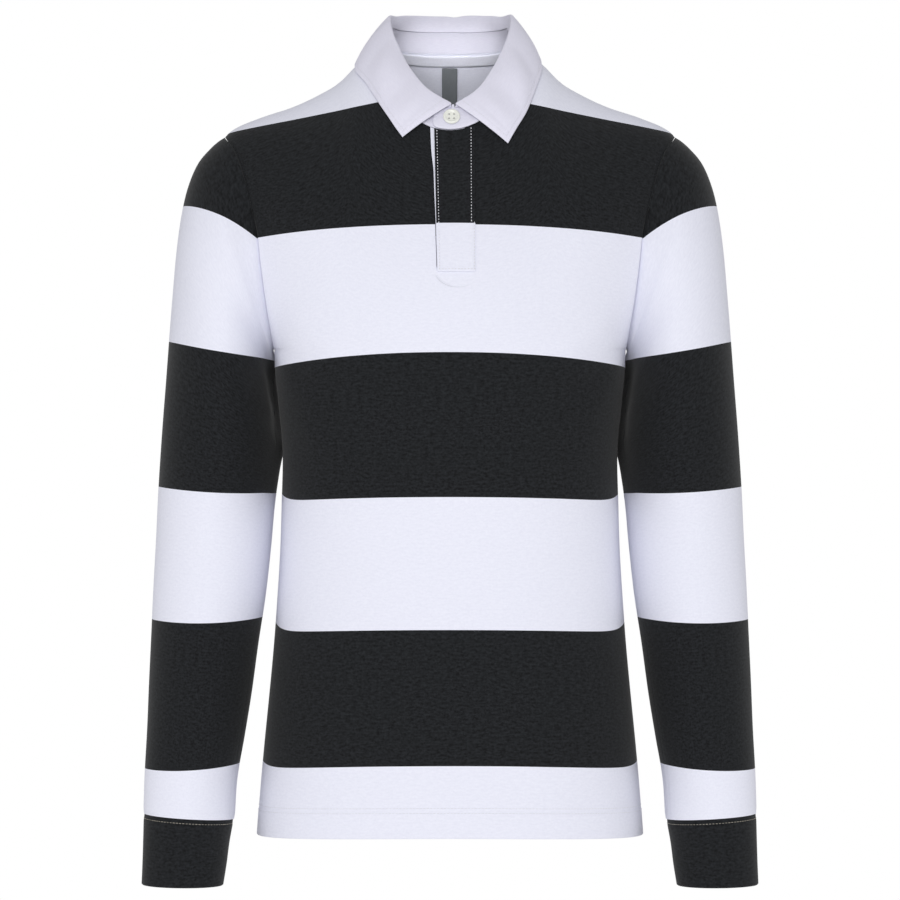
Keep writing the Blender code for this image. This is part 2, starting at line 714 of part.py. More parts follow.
def patch(name, columns, rows, place_of, thick, colour):
    """Flat-lying piece: place_of gives its point at a column, row and lift."""
    outer = np.array([[place_of(c, r, thick) for c in columns] for r in rows])
    inner = np.array([[place_of(c, r, 0.0) for c in columns] for r in rows])
    shell(name, outer, inner, colour)


def make_placket():
    """Two strips of the half placket: one in the slit and one over it."""
    shares = [k / 9 for k in range(10)]

    def over_slit(across, share, lift):
        low_x = PLACKET_LEFT_LOW + (PLACKET_RIGHT - PLACKET_LEFT_LOW) * across
        high_x = PLACKET_LEFT + (PLACKET_RIGHT - PLACKET_LEFT) * across
        x = low_x + (high_x - low_x) * share
        z = PLACKET_Z + (neck_z(x, True) - SEAM - PLACKET_Z) * share
        return torso_point(x, z, True, LAY + lift)

    def in_slit(across, share, lift):
        z = SLIT_Z + SEAM + (neck_z(0.0, True) - SEAM - SLIT_Z - SEAM) * share
        left = slit_left(z) + SEAM
        right = SLIT_RIGHT - SEAM
        x = left + (right - left) * across
        z += (neck_z(x, True) - neck_z(0.0, True)) * share
        return torso_point(x, z, True, lift - WALL)

    across = [0, 0.12, 0.37, 0.62, 0.87, 1]
    patch("placket_upper", across, shares, over_slit, WALL, BLACK_KNIT)
    patch("placket_under", across, shares, in_slit, WALL, WHITE_JERSEY)


def make_neck_inside():
    """Tape over the back neck seam and the plain label that hangs below it."""
    def tape(turn, drop, lift):
        x = NECK_X * math.sin(math.radians(turn))
        return torso_point(x, neck_z(x, False) - drop, False, -WALL - HANG - THIN + lift)

    def label(x, z, lift):
        return torso_point(x, z, False, -WALL - 2 * HANG - THIN + lift)

    first, last = TAPE_TURNS
    turns = [first + (last - first) * k / 14 for k in range(15)]
    patch("neck_tape", turns, TAPE_DROPS, tape, THIN, GREY_TAPE)
    top = neck_z(0.0, False) - LABEL_DROP
    levels = [top - LABEL_LENGTH * k / 5 for k in range(6)]
    patch("label", LABEL_COLUMNS, levels, label, LABEL_THICK, GREY_LABEL)


def make_button():
    """Four-hole button on the upper end of the stand."""
    way = stand_out(BUTTON_TURN)
    seat = stand_point(BUTTON_TURN, BUTTON_SHARE, stand_track(BUTTON_TURN) + LAY)
    across = unit(np.cross(way, (0.0, 0.0, 1.0)))
    up = np.cross(across, way)
    mesh = bmesh.new()
    rings = []
    for height, reach in BUTTON_RINGS:
        ring = []
        for k in range(BUTTON_SIDES):
            angle = 2 * math.pi * k / BUTTON_SIDES
            spoke = across * math.cos(angle) + up * math.sin(angle)
            ring.append(mesh.verts.new(seat + way * height * BUTTON_THICK + spoke * reach * BUTTON_RADIUS))
        rings.append(ring)
    for low, high in zip(rings, rings[1:]):
        for k in range(BUTTON_SIDES):
            after = (k + 1) % BUTTON_SIDES
            mesh.faces.new((low[k], low[after], high[after], high[k]))
    mesh.faces.new(list(reversed(rings[0])))
    mesh.faces.new(rings[-1])
    bmesh.ops.recalc_face_normals(mesh, faces=mesh.faces[:])
    place("button_neck", mesh, PALE_RESIN, RESIN_ROUGH)


def main():
    clear_scene()
    make_body()
    make_cuffs()
    make_stand()
    make_leaf()
    make_placket()
    make_neck_inside()
    make_button()


main()
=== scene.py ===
# %% [markdown]
# # A striped long-sleeve polo shirt
#
# This notebook dresses the shirt's plain solids: it builds each piece of cloth again as a
# finer shell on the same form, gives it its creases, its sewing and its yarn, and lights it
# for one soft studio picture. Read it from top to bottom: every cell adds one thing.

import math

import bmesh
import bpy
import numpy as np
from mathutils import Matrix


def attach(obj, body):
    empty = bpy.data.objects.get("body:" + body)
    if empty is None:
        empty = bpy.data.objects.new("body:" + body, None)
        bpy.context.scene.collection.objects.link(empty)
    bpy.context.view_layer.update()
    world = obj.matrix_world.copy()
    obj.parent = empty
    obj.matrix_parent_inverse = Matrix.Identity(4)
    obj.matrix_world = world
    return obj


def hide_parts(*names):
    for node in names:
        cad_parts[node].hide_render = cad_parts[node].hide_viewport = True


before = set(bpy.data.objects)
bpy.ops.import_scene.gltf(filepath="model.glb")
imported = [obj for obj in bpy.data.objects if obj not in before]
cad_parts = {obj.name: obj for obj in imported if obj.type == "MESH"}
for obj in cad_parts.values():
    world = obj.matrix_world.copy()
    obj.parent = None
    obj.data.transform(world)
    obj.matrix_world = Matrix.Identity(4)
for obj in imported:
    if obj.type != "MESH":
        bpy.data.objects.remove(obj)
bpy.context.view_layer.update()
print("solids:", ", ".join(sorted(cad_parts)))

# %% [markdown]
# The picture comes first, because every later choice is judged in it. The photograph of the
# shirt was taken square from the front with a long lens. A camera 4 m away at mid-height,
# with 0.9 mm of shirt to each pixel of a 900 pixel picture, gives the same gentle perspective.

# %% Camera
CAMERA_Y = -4.0
CAMERA_Z = -0.340
PIXEL = 0.0009
PICTURE = 900
SENSOR_MM = 36.0

camera_data = bpy.data.cameras.new("studio_camera")
camera_data.sensor_width = SENSOR_MM
camera_data.lens = SENSOR_MM * -CAMERA_Y / (PIXEL * PICTURE)
camera = bpy.data.objects.new("studio_camera", camera_data)
camera.location = (0.0, CAMERA_Y, CAMERA_Z)
camera.rotation_euler = (math.radians(90), 0.0, 0.0)
bpy.context.scene.collection.objects.link(camera)
bpy.context.scene.camera = camera
print(f"lens {camera_data.lens:.1f} mm")

# %% [markdown]
# A garment that hangs in the air needs light from all round, as in a white studio tent. The
# world gives that even white light; big soft lamps at the front, at the back and low on both
# sides give the folds their shade. A small strip lamp inside the neck, which the camera
# doesn't see, lights the stand and the tape. The floor is plain and pale, a wearer's height
# below the shoulders.

# %% Studio
FLOOR_Z = -1.42
FLOOR_SIZE = 3.2
TENT_LIGHT = 0.50
LAMPS = (
    # name, place, size, watts
    ("front", (-0.25, -3.1, 0.40), 1.6, 44.0),
    ("back", (0.25, 3.1, 0.35), 1.6, 40.0),
    ("left", (-1.5, -0.8, -1.05), 0.8, 3.6),
    ("right", (1.5, -0.8, -1.05), 0.8, 4.2),
)
NECK_LAMP = ((0.0, 0.002, 0.022), (0.0, 0.060, 0.024), 0.08, 0.0062)
NECK_HEIGHT = 0.008
NECK_SPREAD = 60


def soft_lamp(name, place, aim, size, watts):
    """Add a square lamp that points from its place to its aim."""
    data = bpy.data.lights.new(name, "AREA")
    data.size = size
    data.energy = watts
    lamp = bpy.data.objects.new(name, data)
    lamp.location = place
    away = np.array(place) - np.array(aim)
    length = np.linalg.norm(away)
    lamp.rotation_euler = (math.acos(away[2] / length), 0.0, math.atan2(away[0], -away[1]))
    bpy.context.scene.collection.objects.link(lamp)
    return lamp


tent = bpy.data.worlds.new("white_tent")
tent.use_nodes = True
sky = tent.node_tree.nodes["Background"]
sky.inputs["Color"].default_value = (1.0, 1.0, 1.0, 1.0)
sky.inputs["Strength"].default_value = TENT_LIGHT
seen = tent.node_tree.nodes.new("ShaderNodeBackground")
seen.inputs["Color"].default_value = (1.0, 1.0, 1.0, 1.0)
seen.inputs["Strength"].default_value = 1.0
pick = tent.node_tree.nodes.new("ShaderNodeMixShader")
rays = tent.node_tree.nodes.new("ShaderNodeLightPath")
tent.node_tree.links.new(rays.outputs["Is Camera Ray"], pick.inputs[0])
tent.node_tree.links.new(sky.outputs[0], pick.inputs[1])
tent.node_tree.links.new(seen.outputs[0], pick.inputs[2])
tent.node_tree.links.new(pick.outputs[0], tent.node_tree.nodes["World Output"].inputs["Surface"])
bpy.context.scene.world = tent
bpy.context.scene.view_settings.view_transform = "Standard"
for name, place, size, watts in LAMPS:
    soft_lamp(name, place, (0.0, 0.0, -0.34), size, watts)
neck_lamp = soft_lamp("neck", *NECK_LAMP)
neck_lamp.data.shape = "RECTANGLE"
neck_lamp.data.size_y = NECK_HEIGHT
neck_lamp.data.spread = math.radians(NECK_SPREAD)
neck_lamp.visible_camera = False

floor_mesh = bpy.data.meshes.new("floor")
corner = FLOOR_SIZE
floor_mesh.from_pydata([(-corner, -corner, FLOOR_Z), (corner, -corner, FLOOR_Z),
                        (corner, corner, FLOOR_Z), (-corner, corner, FLOOR_Z)], [], [(0, 1, 2, 3)])
floor = bpy.data.objects.new("floor", floor_mesh)
bpy.context.scene.collection.objects.link(floor)

# %% [markdown]
# ## The form of the shirt
#
# A worn shirt is a smooth tube. Instead of modelling it by hand, short tables give its
# sizes (half width, depth, seam lines), and one small function reads a table smoothly.
# The same numbers made the plain solids, so each finer shell lies where its solid lies.

# %% Small tools for numbers
def curve(table, at, column=1, level_ends=False):
    """Read one column of a table smoothly at a value of its first column."""
    keys = [row[0] for row in table]
    values = [row[column] for row in table]
    if keys[0] > keys[-1]:
        keys.reverse()
        values.reverse()
    if at <= keys[0]:
        return values[0]
    if at >= keys[-1]:
        return values[-1]
    i = max(k for k in range(len(keys) - 1) if keys[k] <= at)
    slopes = [(values[k + 1] - values[k]) / (keys[k + 1] - keys[k]) for k in range(len(keys) - 1)]
    at_end = 0.0 if level_ends else 1.0
    start = slopes[i] * at_end if i == 0 else (slopes[i - 1] + slopes[i]) / 2
    end = slopes[i] * at_end if i == len(slopes) - 1 else (slopes[i] + slopes[i + 1]) / 2
    span = keys[i + 1] - keys[i]
    s = (at - keys[i]) / span
    return (values[i] * (1 + 2 * s) * (1 - s) ** 2 + values[i + 1] * s * s * (3 - 2 * s)
            + span * s * (1 - s) * (start * (1 - s) - end * s))


def ease(value, low, high):
    """Run from 0 at low to 1 at high without a corner."""
    s = min(max((value - low) / (high - low), 0.0), 1.0)
    return s * s * (3 - 2 * s)


def unit(vector):
    """The vector at length 1."""
    vector = np.asarray(vector, dtype=float)
    length = np.linalg.norm(vector, axis=-1, keepdims=True)
    return vector / np.maximum(length, 1e-12)


def finer(values, parts):
    """Put parts - 1 even steps between each two neighbours of a list."""
    keys = np.arange(len(values))
    return list(np.interp(np.arange((len(values) - 1) * parts + 1) / parts, keys, values))


# %% Sizes of the body, in metres
WALL = 0.0015
TWILL = 0.0016
CUFF_WALL = 0.0024
THIN = 0.0010
GAP = 0.0003
SEAM = 0.0005
LAY = 0.0004
HANG = 0.0012
LEAF_SEAM = 0.0008
HEM_Z = -0.6843
HEM_RISE = 0.0045
HEM_RISE_REACH = 0.048
HEM_DEPTH = 0.0245
HEM_ROWS = (0.0, 0.0003, 0.0008, 0.0016, 0.004, 0.009, 0.014, 0.019, 0.0225, 0.0245, 0.0265, 0.030, 0.036)
UNDERARM_Z = -0.250
LOW_LEVELS = [HEM_Z + rise for rise in HEM_ROWS] + list(np.linspace(HEM_Z + 0.041, UNDERARM_Z, 80))[:-1]
LOW_ROWS = len(LOW_LEVELS)
TIP_X = 0.203
TIP_Z = -0.058
ARMHOLE_HALF = (TIP_Z - UNDERARM_Z) / 2
ARMHOLE_MID = (TIP_Z + UNDERARM_Z) / 2
ARMHOLE_DEPTH = 0.066
UNDERARM_SHARP = 20
SIDE_POWER = 2.4
CHEST_POWER = 2.3
RIDGE_POWER = 1.6
FINE = 4
ARM_ROWS = 12 * FINE
NECK_X = 0.062
FRONT_DROP = 0.0835
BACK_DROP = 0.003
SLIT_EDGE = (
    # z, x of the slit's left edge
    (-0.056, -0.0180), (-0.080, -0.0168), (-0.093, -0.0152), (-0.115, -0.0143), (-0.133, -0.0134), (-0.180, -0.0118),
)
SLIT_RIGHT = 0.0175
SLIT_Z = -0.1800

TORSO_WIDTH = (
    # z, half width
    (-0.690, 0.1738), (-0.646, 0.1706), (-0.603, 0.1668), (-0.560, 0.1625),
    (-0.516, 0.1584), (-0.473, 0.1552), (-0.430, 0.1526), (-0.387, 0.1513),
    (-0.340, 0.1506), (-0.300, 0.1542), (-0.268, 0.1574), (-0.250, 0.1580), (-0.209, 0.1642),
    (-0.176, 0.1690), (-0.150, 0.1725), (-0.092, 0.1880), (-0.058, 0.2030),
)
TORSO_DEPTH = (
    # z, front, back
    (-0.690, 0.1180, 0.1080), (-0.580, 0.1130, 0.1020), (-0.450, 0.1090, 0.0960),
    (-0.330, 0.1150, 0.1030), (-0.220, 0.1190, 0.1120), (-0.140, 0.1060, 0.1120),
    (-0.056, 0.0780, 0.0990), (0.020, 0.0600, 0.0830), (0.080, 0.0500, 0.0700),
)
SEAM_PLANE = (
    # z, y
    (-0.690, 0.000), (-0.400, 0.000), (-0.250, 0.002), (-0.058, 0.006), (0.080, 0.004),
)
RIDGE = (
    # x, z
    (-0.0175, 0.0720), (0.0000, 0.0730), (0.0175, 0.0720), (0.0360, 0.0600),
    (0.0500, 0.0440), (0.0620, 0.0260), (0.0846, 0.0062),
    (0.0995, -0.0088), (0.1173, -0.0196), (0.1402, -0.0304), (0.1720, -0.0412),
    (0.1960, -0.0520), (0.2030, -0.0580),
)
NECK_TURNS = (37, 46, 55, 64, 73, 82, 90)
NECK_COLUMNS = (0.0, SLIT_RIGHT, 0.0260) + tuple(NECK_X * math.sin(math.radians(t)) for t in NECK_TURNS)
SHOULDER_COLUMNS = (0.0740, 0.0940, 0.1180, 0.1420, 0.1650, 0.1840, 0.1975, 0.2030)
print(f"body {HEM_Z:.3f} to {RIDGE[5][1]:.3f} m, {2 * TIP_X:.3f} m across the shoulders")

# %% [markdown]
# ## Creases
#
# Jersey that is filled out stays smooth, but it pulls in soft folds from the armpits and
# a little at the waist. Each fold is one row of a table: where it starts and ends in the
# front view, how wide it is and how high (or deep, below 0). A bell curve across it and a
# soft fade at both ends give the round shape that real cloth has. No two are alike.

# %% Fold tables
FRONT_FOLDS = (
    # x0, z0, x1, z1, half width, height: the large ones, on both sides
    (0.120, -0.130, 0.112, -0.232, 0.024, 0.0020),
    (0.150, -0.225, 0.095, -0.262, 0.016, 0.0026),
    (0.146, -0.262, 0.088, -0.300, 0.017, -0.0026),
    (0.140, -0.296, 0.104, -0.352, 0.016, 0.0022),
)
BACK_FOLDS = (
    # x0, z0, x1, z1, half width, height: the large ones, on both sides
    (0.126, -0.222, 0.072, -0.272, 0.020, 0.0022),
    (0.124, -0.274, 0.080, -0.330, 0.020, -0.0020),
    (0.110, -0.430, 0.030, -0.470, 0.024, -0.0022),
)
FRONT_CREASES = (
    # x0, z0, x1, z1, half width, height: smaller ones, each on its own side
    (-0.148, -0.238, -0.104, -0.288, 0.0070, 0.0011),
    (-0.140, -0.300, -0.100, -0.330, 0.0090, -0.0009),
    (0.145, -0.246, 0.112, -0.278, 0.0065, 0.0010),
    (0.138, -0.306, 0.092, -0.352, 0.0100, -0.0010),
    (-0.135, -0.395, -0.080, -0.412, 0.0130, 0.0010),
    (0.138, -0.410, 0.070, -0.432, 0.0140, 0.0011),
    (-0.150, -0.640, -0.110, -0.655, 0.0090, -0.0012),
    (0.152, -0.636, 0.105, -0.650, 0.0100, -0.0012),
    (-0.148, -0.6170, -0.128, -0.6160, 0.0035, -0.0008),
    (0.136, -0.6165, 0.152, -0.6175, 0.0035, -0.0008),
    (-0.060, -0.560, -0.020, -0.640, 0.0220, 0.0010),
    (0.070, -0.540, 0.040, -0.650, 0.0240, -0.0010),
)
BACK_CREASES = (
    # x0, z0, x1, z1, half width, height
    (-0.140, -0.250, -0.095, -0.300, 0.0080, 0.0012),
    (0.138, -0.240, 0.100, -0.296, 0.0085, 0.0013),
    (-0.110, -0.330, -0.020, -0.360, 0.0150, -0.0013),
    (0.100, -0.380, 0.020, -0.402, 0.0140, 0.0012),
    (-0.120, -0.480, -0.050, -0.500, 0.0160, 0.0012),
    (0.060, -0.560, 0.030, -0.650, 0.0220, 0.0010),
    (-0.070, -0.550, -0.045, -0.650, 0.0240, -0.0010),
)


def fold_height(folds, x, z):
    """Sum of the folds of one table at a place on one panel."""
    total = 0.0
    for x0, z0, x1, z1, half, height in folds:
        along = (x1 - x0, z1 - z0)
        away = (x - x0, z - z0)
        s = (away[0] * along[0] + away[1] * along[1]) / (along[0] ** 2 + along[1] ** 2)
        inside = min(max(s, 0.0), 1.0)
        off = math.hypot(away[0] - inside * along[0], away[1] - inside * along[1]) / half
        if off < 3:
            total += height * math.exp(-off * off) * ease(s, -0.35, 0.25) * ease(-s, -1.35, -0.6)
    return total


# %% The body's surface
def half_width(z):
    return curve(TORSO_WIDTH, z)


def seam_y(z):
    return curve(SEAM_PLANE, z)


def torso_depth(x, z, front):
    """Distance of the panel from the seam plane at a place in the front view."""
    across = min(abs(x) / half_width(z), 1.0)
    middle = curve(TORSO_DEPTH, z, 1 if front else 2)
    height = min((z - ARMHOLE_MID) / ARMHOLE_HALF, 0.0)
    at_seam = ARMHOLE_DEPTH * math.sqrt(max(1 - height * height, 0.0))
    within = ARMHOLE_DEPTH * ease(z, UNDERARM_Z - 0.07, UNDERARM_Z + 0.11)
    near = across ** (10 + UNDERARM_SHARP * (1 - ease(z, UNDERARM_Z, UNDERARM_Z + 0.06)))
    edge = at_seam * near + within * (1 - near)
    below = max(1 - across ** SIDE_POWER, 0.0) ** (1 / SIDE_POWER)
    above = 1 - across ** CHEST_POWER
    blend = ease(z, UNDERARM_Z - 0.03, UNDERARM_Z + 0.13)
    depth = edge + (middle - edge) * (below * (1 - blend) + above * blend)
    top = curve(RIDGE, across * TIP_X)
    rise = min(max((z - top) / ARMHOLE_HALF + 1, 0.0), 1.0)
    power = RIDGE_POWER + (2 - RIDGE_POWER) * across ** 2
    depth *= max(1 - rise ** power, 0.0) ** (1 / power)
    inside = 1 - ease(across, 0.82, 1.0)
    folds = fold_height(FRONT_FOLDS if front else BACK_FOLDS, abs(x), z) * inside
    small = 1 - ease(across, 0.90, 1.0)
    return depth + folds + small * fold_height(FRONT_CREASES if front else BACK_CREASES, x, z)


def torso_slope(x, z, front):
    """How fast a panel's depth changes along X and Z."""
    step = 0.001
    slope_x = (torso_depth(x + step, z, front) - torso_depth(x - step, z, front)) / (2 * step)
    slope_z = (torso_depth(x, z + step, front) - torso_depth(x, z - step, front)) / (2 * step)
    return slope_x, slope_z


def torso_normal(x, z, front):
    slope_x, slope_z = torso_slope(x, z, front)
    return unit((-slope_x, -1 if front else 1, -slope_z))


def torso_point(x, z, front, lift=0.0):
    """Place on the outside of a panel, moved out by lift along its normal."""
    facing = -1 if front else 1
    point = np.array((x, seam_y(z) + facing * torso_depth(x, z, front), z))
    if lift == 0.0:
        return point
    return point + lift * torso_normal(x, z, front)


def neck_z(x, front):
    """Height of the neckline seam."""
    side = math.sqrt(max(1 - (x / NECK_X) ** 2, 0.0))
    return curve(RIDGE, NECK_X) - (FRONT_DROP if front else BACK_DROP) * side


def slit_left(z):
    """The slit's left edge leans, so a sliver of the under placket shows."""
    return curve(SLIT_EDGE, z)


print("depth at the chest:", round(torso_depth(0.0, -0.2, True), 4))

# %% [markdown]
# ## From a grid of points to a piece of cloth
#
# Every piece is a grid of points on its outside and a second grid on its inside. Joining
# both with a rim gives a thin closed wall, which is what cloth is. Two things are written
# on each point for the materials: a UV in metres, so that yarn keeps its real size, and
# `course`, which counts the colour stripes down the piece.

# %% Wall builder
def normals(grid, wrap):
    """Normals of a grid from its neighbours, round the columns if wrapped."""
    down = np.gradient(grid, axis=0)
    if wrap:
        across = (np.roll(grid, -1, axis=1) - np.roll(grid, 1, axis=1)) / 2
    else:
        across = np.gradient(grid, axis=1)
    return unit(np.cross(across, down))


def lengths(grid, axis):
    """Distance along the rows or columns of a grid, from its first one."""
    steps = np.linalg.norm(np.diff(grid, axis=axis), axis=-1)
    start = np.zeros_like(np.take(steps, [0], axis=axis))
    return np.concatenate((start, np.cumsum(steps, axis=axis)), axis=axis)


def wall(name, outer, inner, course=None, wrap=False, keep=None, seam=None):
    """Closed wall between two grids of points, with its rims; keep drops cells."""
    rows, cols = outer.shape[:2]
    cells = cols if wrap else cols - 1
    places = np.concatenate((outer.reshape(-1, 3), inner.reshape(-1, 3)))
    closed = np.concatenate((outer, outer[:, :1]), axis=1) if wrap else outer
    u = np.broadcast_to(lengths(closed, 1).mean(axis=0), closed.shape[:2])
    v = np.broadcast_to(lengths(outer, 0).mean(axis=1)[:, None], closed.shape[:2])
    faces = []
    spots = []

    def index(layer, r, c):
        return layer * rows * cols + r * cols + c % cols

    def kept(r, c):
        if wrap:
            c %= cols
        if r < 0 or r >= rows - 1 or c < 0 or c >= cells:
            return False
        return keep is None or keep(r, c)

    def lay_face(corners, layers):
        faces.append([index(layer, r, c) for layer, (r, c) in zip(layers, corners)])
        spots.extend((u[r, c], v[r, c]) for r, c in corners)

    for r in range(rows - 1):
        for c in range(cells):
            if not kept(r, c):
                continue
            corners = ((r, c), (r, c + 1), (r + 1, c + 1), (r + 1, c))
            lay_face(corners, (0, 0, 0, 0))
            lay_face(corners[::-1], (1, 1, 1, 1))
            for k, beside in enumerate(((r - 1, c), (r, c + 1), (r + 1, c), (r, c - 1))):
                if not kept(*beside):
                    start, end = corners[k], corners[(k + 1) % 4]
                    lay_face((start, end, end, start), (1, 1, 0, 0))
    mesh = bpy.data.meshes.new(name)
    mesh.from_pydata(places.tolist(), [], faces)
    mesh.uv_layers.new(name="UVMap").data.foreach_set("uv", np.array(spots, np.float32).ravel())
    for word, values in (("course", course), ("seam", seam)):
        if values is not None:
            written = mesh.attributes.new(word, "FLOAT", "POINT")
            written.data.foreach_set("value", np.concatenate((values.ravel(), values.ravel())).astype(np.float32))
    return finish_mesh(name, mesh)


def finish_mesh(name, mesh):
    """Drop loose points, turn the faces outwards, smooth them and link the object."""
    shape = bmesh.new()
    shape.from_mesh(mesh)
    loose = [v for v in shape.verts if not v.link_faces]
    bmesh.ops.delete(shape, geom=loose, context="VERTS")
    bmesh.ops.recalc_face_normals(shape, faces=shape.faces[:])
    if shape.calc_volume(signed=True) < 0:
        bmesh.ops.reverse_faces(shape, faces=shape.faces[:])
    shape.to_mesh(mesh)
    shape.free()
    mesh.shade_smooth()
    mesh.set_sharp_from_angle(angle=math.radians(50))
    piece = bpy.data.objects.new(name, mesh)
    bpy.context.scene.collection.objects.link(piece)
    return piece


# %% [markdown]
# ## Stripes
#
# The jersey is knitted in broad black and white stripes. In the front view each edge
# between two stripes is nearly straight: on the body it droops a little towards the sides,
# on the sleeves it slants across the arm. So each edge is one row in a table, and `course`
# rises by one at each of them. White cloth lies where its whole part is even, black where
# it is odd.

# %% Stripe tables
BODY_STRIPES = (
    # z at the centre, drop towards the side, power of the drop, curl up at the side seam
    (-0.0196, 0.0366, 1.0, 0.0000), (-0.1420, 0.0100, 2.2, 0.0000), (-0.2544, 0.0118, 2.2, 0.0000),
    (-0.3812, 0.0045, 2.2, 0.0068), (-0.4976, 0.0042, 2.2, 0.0080), (-0.6164, 0.0066, 2.2, 0.0050),
    (-0.9000, 0.0000, 1.0, 0.0000),
)
SLEEVE_STRIPES = (
    # outer x, outer z, inner x, inner z, bow: how far the edge curves up in the middle
    (0.2030, 0.0600, 0.1600, 0.0600, 0.0000), (0.2385, -0.1213, 0.1755, -0.1490, 0.0048),
    (0.2475, -0.2440, 0.1755, -0.2568, -0.0010), (0.2565, -0.3735, 0.1755, -0.3785, -0.0014),
    (0.2655, -0.4915, 0.1755, -0.4905, -0.0024), (0.2700, -0.6240, 0.1850, -0.6190, -0.0018),
    (0.2700, -0.8000, 0.1850, -0.8000, 0.0000),
)


def count_courses(place, edges):
    """Count the stripes at a height: each edge is a whole number, and the count runs on smoothly."""
    first = (2 * edges[0] - edges[1], 0.0)
    return curve([first] + [(edge, k + 1.0) for k, edge in enumerate(edges)], place)


def body_course(x, z, lift=0.0):
    across = min(abs(x) / half_width(z), 1.0)
    edges = [level - drop * across ** power + curl * across ** 24 for level, drop, power, curl in BODY_STRIPES]
    return count_courses(z - lift, edges)


def sleeve_course(x, z):
    edges = []
    for outer_x, outer_z, inner_x, inner_z, bow in SLEEVE_STRIPES:
        share = (abs(x) - outer_x) / (inner_x - outer_x)
        edges.append(outer_z + (inner_z - outer_z) * share + bow * max(4 * share * (1 - share), -0.5))
    return count_courses(z, edges)


print("course at the chest and at the hem:", round(body_course(0, -0.2), 2), round(body_course(0, -0.68), 2))

# %% [markdown]
# ## Front and back
#
# The two panels meet in one plane: at the side seams, up the armholes and along the
# shoulders. The rows run from the hem to the underarm and then fan out, so that the last
# row is the neckline and the shoulder seam. Near a seam the cloth is drawn in a little by
# the thread, so the outer points dip there.

# %% Panel grid
SEAM_DIP = 0.0006
SEAM_REACH = 0.0030
HEM_FULL = 0.0003
VALLEY_DEPTH = 0.0040
VALLEY_REACH = 0.0160


def panel_grid(front):
    """Outer points of the front or back panel, from hem to neck and shoulder."""
    half = finer(NECK_COLUMNS + SHOULDER_COLUMNS, FINE)
    count = len(half) - 1
    tops = [-x for x in reversed(half[1:])] + list(half)
    facing = -1 if front else 1
    shares = [0.5 + 0.5 * math.sin(math.radians(-90 + 180 * k / ARM_ROWS)) for k in range(ARM_ROWS + 1)]
    rows = [(level, None) for level in LOW_LEVELS]
    rows += [(None, share) for share in shares]
    grid = np.zeros((len(rows), len(tops), 3))
    for r, (level, share) in enumerate(rows):
        edge_z = level if share is None else UNDERARM_Z + (TIP_Z - UNDERARM_Z) * share
        mix = 1.0 if share is None else math.sqrt(1 - share)
        for c, top in enumerate(tops):
            index = abs(c - count)
            side = math.copysign(1, c - count)
            even = math.sin(math.pi / 2 * index / count)
            x = side * half_width(edge_z) * (even * mix + abs(top) / TIP_X * (1 - mix))
            z = edge_z
            if share is None:
                z += HEM_RISE * (1 - even ** 2) * max(1 - (level - HEM_Z) / HEM_RISE_REACH, 0.0)
            if share is not None:
                crest = curve(RIDGE, min(abs(x), TIP_X))
                if abs(top) < NECK_X:
                    crest = min(crest, neck_z(top, front))
                z = UNDERARM_Z + (crest - UNDERARM_Z) * share
            if index <= 2 * FINE:
                straight = ease(z, UNDERARM_Z - 0.04, SLIT_Z)
                place = top
                if front and side < 0:
                    near = 1 - abs(index - FINE) / FINE
                    place = top + (slit_left(z) + SLIT_RIGHT) * near
                x = x * (1 - straight) + place * straight
            depth = torso_depth(x, z, front)
            if index == count and share is not None:
                depth = ARMHOLE_DEPTH * 2 * math.sqrt(max(share * (1 - share), 0.0))
            if front and share is not None:
                off = (half_width(edge_z) - abs(x)) / VALLEY_REACH
                depth -= VALLEY_DEPTH * math.exp(-off * off) * math.sin(math.pi * share)
            grid[r, c] = (x, seam_y(z) + facing * (GAP / 2 + depth), z)
    if front:
        level_slit(grid, count)
    return grid


def level_slit(grid, count):
    """Set the row nearest to the slit's end level with it between its edges."""
    row = slit_row(grid, count)
    for c in range(count - FINE, count + FINE + 1):
        x = grid[row, c, 0]
        grid[row, c] = (x, seam_y(SLIT_Z) - GAP / 2 - torso_depth(x, SLIT_Z, True), SLIT_Z)


def slit_row(grid, count):
    return int(np.argmin(np.abs(grid[:, count, 2] - SLIT_Z)))


def beside_slit(grid):
    """Tell which cells of the front panel are cloth: all but those of the slit."""
    middle = grid.shape[1] // 2
    first = slit_row(grid, middle)

    def cloth(r, c):
        return r < first or c < middle - FINE or c >= middle + FINE

    return cloth


def seam_dip(grid, way, sides):
    """Draw the outer points in near the named sides of a grid."""
    along = lengths(grid, 1)
    down = lengths(grid, 0)
    far = {"left": along, "right": along[:, -1:] - along, "low": down, "top": down[-1:] - down}
    dip = np.zeros(grid.shape[:2])
    for side in sides:
        dip = np.maximum(dip, np.exp(-(far[side] / SEAM_REACH) ** 2))
    return grid - way * (SEAM_DIP * dip)[..., None]


def hem_profile(grid):
    """How far the hem's fold tucks in at its edge, and how much fuller it is below its stitches."""
    up = lengths(grid, 0)
    low = np.clip(1 - up / (WALL / 2), 0, 1)
    tuck = WALL / 2 * (1 - np.sqrt(1 - 0.9 * low ** 2))
    fuller = HEM_FULL * np.clip((HEM_DEPTH + 0.001 - up) / 0.002, 0, 1)
    stitched = np.exp(-((up - HEM_DEPTH) / 0.0015) ** 2)
    return tuck + SEAM_DIP * 0.5 * stitched, fuller


# %% [markdown]
# ## Neckline directions
#
# Where two walls meet at an angle, both must be cut along one shared direction, as a mitred
# picture frame is. The collar's stand rises from the neckline, so its direction is worked
# out together with the panels'.

